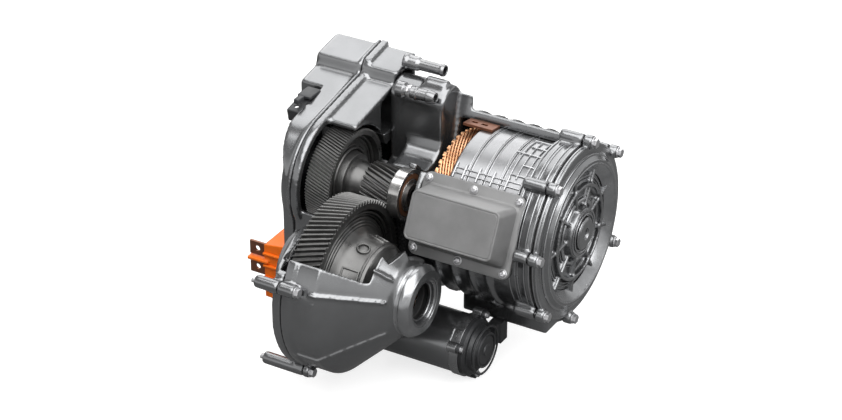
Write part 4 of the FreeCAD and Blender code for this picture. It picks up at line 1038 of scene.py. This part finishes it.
class DRIVE_OT_carrier_trim(bpy.types.Operator):
    """Model the stepped skirt, the pin's rings and the raised frames of the differential's carrier"""

    bl_idname = "drive_unit.carrier_trim"
    bl_label = "Carrier Trim"

    def execute(self, context):
        bm = bmesh.new()
        skirt = [
            (-122.0, 93.0), (-120.6, 93.0), (-119.6, 91.4), (-119.6, 88.0), (-118.4, 87.0),
            (-118.0, 84.0), (-116.8, 82.8), (-116.2, 80.4), (-114.8, 79.0), (-112.0, 75.6),
            (-108.6, 72.6), (-104.6, 70.2), (-99.0, 68.2), (-92.0, 66.8), (-84.0, 65.8), (-79.0, 65.4),
            (-78.0, 66.6), (-75.4, 66.6), (-74.4, 65.0), (-70.6, 63.8), (-68.6, 61.0), (-70.6, 60.0),
            (-96.0, 62.6), (-122.0, 64.0),
        ]
        add_shape(bm, turned(skirt, 96))
        new_piece("carrier_skirt", bm, "gear", "differential", smooth=24.0)
        bm = bmesh.new()
        for angle in (100, 280):
            place = self.on_skirt(angle) @ Matrix.Rotation(-math.pi / 2, 4, "Y")
            ring = turned([(-2.0, 7.4), (2.2, 7.4), (2.8, 8.0), (2.8, 9.4), (2.0, 10.2), (-2.0, 10.4)], 32)
            add_shape(bm, ring, place)
            add_shape(bm, turned([(-2.0, 0.0), (0.9, 0.0), (0.9, 6.0), (0.5, 6.8), (-2.0, 7.0)], 32), place)
        sides = ((0, 9, 26, 2.4), (0, -9, 26, 2.4), (12, 0, 2.4, 18), (-12, 0, 2.4, 18))
        for angle in (20, 62, 140, 200, 242, 320):
            for x, y, width, depth in sides:
                frame_bar = rounded_box(width, depth, 4.4, 0.9, 0.8, 2)
                add_shape(bm, frame_bar, self.on_skirt(angle) @ shift(x, y, -2.0))
        new_piece("carrier_frames", bm, "gear", "differential")
        return {"FINISHED"}

    def on_skirt(self, angle):
        """A place on the skirt's slope, with z away from it."""
        slope = Matrix.Rotation(math.radians(12), 4, "Y")
        return round_x(angle - 90) @ shift(-92, z=67.2) @ slope


class DRIVE_OT_gear_trim(bpy.types.Operator):
    """Model the turned steps on the webs of the two big gears"""

    bl_idname = "drive_unit.gear_trim"
    bl_label = "Gear Trim"

    def execute(self, context):
        intermediate_steps = ((43, 47, 5), (49, 51, 2), (57, 59, 1.6), (61, 65, 5))
        ring_steps = ((95.5, 97.0, 1.6), (98.5, 102.0, 4.2))
        webs = (
            ("intermediate_gear_steps", INTERMEDIATE, "intermediate", -199.5, intermediate_steps),
            ("ring_gear_steps", DIFFERENTIAL, "differential", -121.0, ring_steps),
        )
        for name, centre, body, x, steps in webs:
            bm = bmesh.new()
            for step in steps:
                add_shape(bm, turned(face_step(x, *step, chamfer=0.3), 96), Matrix.Translation(centre))
            new_piece(name, bm, "gear", body)
        return {"FINISHED"}


class DRIVE_OT_service_trim(bpy.types.Operator):
    """Model the fins of the high-voltage block and the latch of the signal connector"""

    bl_idname = "drive_unit.service_trim"
    bl_label = "Service Trim"

    def execute(self, context):
        low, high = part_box("hv_connector")
        bm = bmesh.new()
        for index in range(4):
            z = low.z + (high.z - low.z) * (0.2 + 0.2 * index)
            fin = rounded_box(46, 4.0, 3.4, 1.0, 1.0, 2)
            place = Matrix.Translation((-276 * MM, low.y + 4 * MM, z)) @ round_x(90)
            add_shape(bm, fin, place)
        new_piece("hv_fins", bm, "orange", "housing")
        low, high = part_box("signal_connector")
        bm = bmesh.new()
        middle = (low + high) / 2
        cap = rounded_box((high.x - low.x) / MM - 3, (high.y - low.y) / MM * 0.5, 4.0, 2.0, 1.2, 3)
        seat = high.z - 1.2 * MM
        add_shape(bm, cap, Matrix.Translation((middle.x, middle.y + 12 * MM, seat)))
        latch = rounded_box(9, 16, 7.0, 1.5, 1.2, 3)
        add_shape(bm, latch, Matrix.Translation((middle.x, low.y + 14 * MM, seat)))
        new_piece("signal_connector_latch", bm, "plastic", "housing")
        return {"FINISHED"}


class DRIVE_OT_coolant_outlet(bpy.types.Operator):
    """Model the coolant outlet with its collar, clamp and lip"""

    bl_idname = "drive_unit.coolant_outlet"
    bl_label = "Coolant Outlet"

    def execute(self, context):
        place = shift(y=205, z=204)
        bm = bmesh.new()
        tube = [
            (-162, 6.0), (-162, 12.0), (-151, 12.0), (-149.6, 11.0), (-147, 9.0), (-133, 8.6),
            (-132, 10.2), (-129, 10.2), (-128, 8.6), (-114, 8.6), (-112, 9.8), (-109, 9.8), (-100, 8.4),
            (-100, 6.0),
        ]
        add_shape(bm, turned(tube, 40), place)
        new_piece("coolant_outlet_tube", bm, "tube", "housing", ("coolant_outlet",))
        bm = bmesh.new()
        clamp_x = -142.5
        add_shape(bm, turned(bead_profile(clamp_x, 9.2, 6.0, 1.2), 40), place)
        lug = rounded_box(6.5, 7.0, 6.0, 1.2, 0.8, 3)
        add_shape(bm, lug, place @ Matrix.Rotation(0.9, 4, "X") @ shift(clamp_x, z=9.5))
        new_piece("coolant_clamp", bm, "screw", "housing")
        return {"FINISHED"}


class DRIVE_OT_case_ribs(bpy.types.Operator):
    """Model the stiffening ribs on the closed sides and the steps of the pump's cover"""

    bl_idname = "drive_unit.case_ribs"
    bl_label = "Case Ribs"

    def execute(self, context):
        bm = bmesh.new()
        between = MOTOR - INTERMEDIATE
        towards = math.degrees(math.atan2(between.z, between.y))
        for centre in (INTERMEDIATE, MOTOR):
            for low, high, height in ((19, 23, 3.5), (29, 33, 5.0)):
                foot, crown = CASE_LEFT + 1, CASE_LEFT + 1 - height
                profile = [(foot, low), (crown, low + 1), (crown, high - 1), (foot, high)]
                add_shape(bm, turned(profile, 64), Matrix.Translation(centre))
            for step in range(8):
                joins_seats = step == 0 and centre is INTERMEDIATE
                rib = rounded_box(7.0, 3.6, 38 if joins_seats else 12, 0.0, 1.2, 3)
                place = Matrix.Translation(centre) @ round_x(towards + step * 45 - 90)
                add_shape(bm, rib, place @ shift(CASE_LEFT - 2, z=30))
        new_piece("gearbox_cover_ribs", bm, "cast", "housing")
        bm = bmesh.new()
        for x in (-146, -128, -110):
            rib = rounded_box(3.6, 128, 4.4, 1.2, 1.2, 3)
            add_shape(bm, rib, shift(x, CASE_BACK - 1, 70) @ round_x(-90))
        new_piece("motor_housing_ribs", bm, "cast", "housing")
        bm = bmesh.new()
        for low, high, height in ((35, 38, 1.2), (24, 27, 2.4), (0.1, 22, 1.4), (0.1, 9, 3.4)):
            foot, side, crown = PUMP_FACE - 1, PUMP_FACE + height * 0.6, PUMP_FACE + height
            inner = [(foot, low), (side, low), (crown, low + 0.6)]
            outer = [(crown, high - 0.8), (side, high), (foot, high)]
            add_shape(bm, turned(inner + outer, 64), Matrix.Translation(PUMP))
        new_piece("pump_cover_steps", bm, "pump", "housing")
        return {"FINISHED"}


class DRIVE_PT_panel(bpy.types.Panel):
    """Lists the steps and their settings"""

    bl_label = "Drive Unit"
    bl_idname = "DRIVE_PT_panel"
    bl_space_type = "VIEW_3D"
    bl_region_type = "UI"
    bl_category = "Drive Unit"

    def draw(self, context):
        layout = self.layout
        for group in (context.scene.drive_unit_sizes, context.scene.drive_unit_colours):
            box = layout.box()
            for name in group.__annotations__:
                box.prop(group, name)
        for step in STEPS:
            layout.operator(step.bl_idname)


STEPS = (
    DRIVE_OT_stage,
    DRIVE_OT_solids,
    DRIVE_OT_terminal_cover,
    DRIVE_OT_windings,
    DRIVE_OT_cages,
    DRIVE_OT_motor_trim,
    DRIVE_OT_output_rings,
    DRIVE_OT_carrier_trim,
    DRIVE_OT_gear_trim,
    DRIVE_OT_coolant_outlet,
    DRIVE_OT_service_trim,
    DRIVE_OT_case_ribs,
)
CLASSES = (DriveUnitColours, DriveUnitSizes, *STEPS, DRIVE_PT_panel)


def register():
    """Registers the classes and the scene's settings."""
    for item in CLASSES:
        bpy.utils.register_class(item)
    bpy.types.Scene.drive_unit_colours = PointerProperty(type=DriveUnitColours)
    bpy.types.Scene.drive_unit_sizes = PointerProperty(type=DriveUnitSizes)


def unregister():
    """Removes what register added."""
    del bpy.types.Scene.drive_unit_sizes
    del bpy.types.Scene.drive_unit_colours
    for item in reversed(CLASSES):
        bpy.utils.unregister_class(item)


def main():
    """Makes the scene step by step."""
    register()
    bpy.ops.drive_unit.stage()
    bpy.ops.drive_unit.solids()
    bpy.ops.drive_unit.terminal_cover()
    bpy.ops.drive_unit.windings()
    bpy.ops.drive_unit.cages()
    bpy.ops.drive_unit.motor_trim()
    bpy.ops.drive_unit.output_rings()
    bpy.ops.drive_unit.carrier_trim()
    bpy.ops.drive_unit.gear_trim()
    bpy.ops.drive_unit.coolant_outlet()
    bpy.ops.drive_unit.service_trim()
    bpy.ops.drive_unit.case_ribs()


if __name__ == "__main__":
    main()
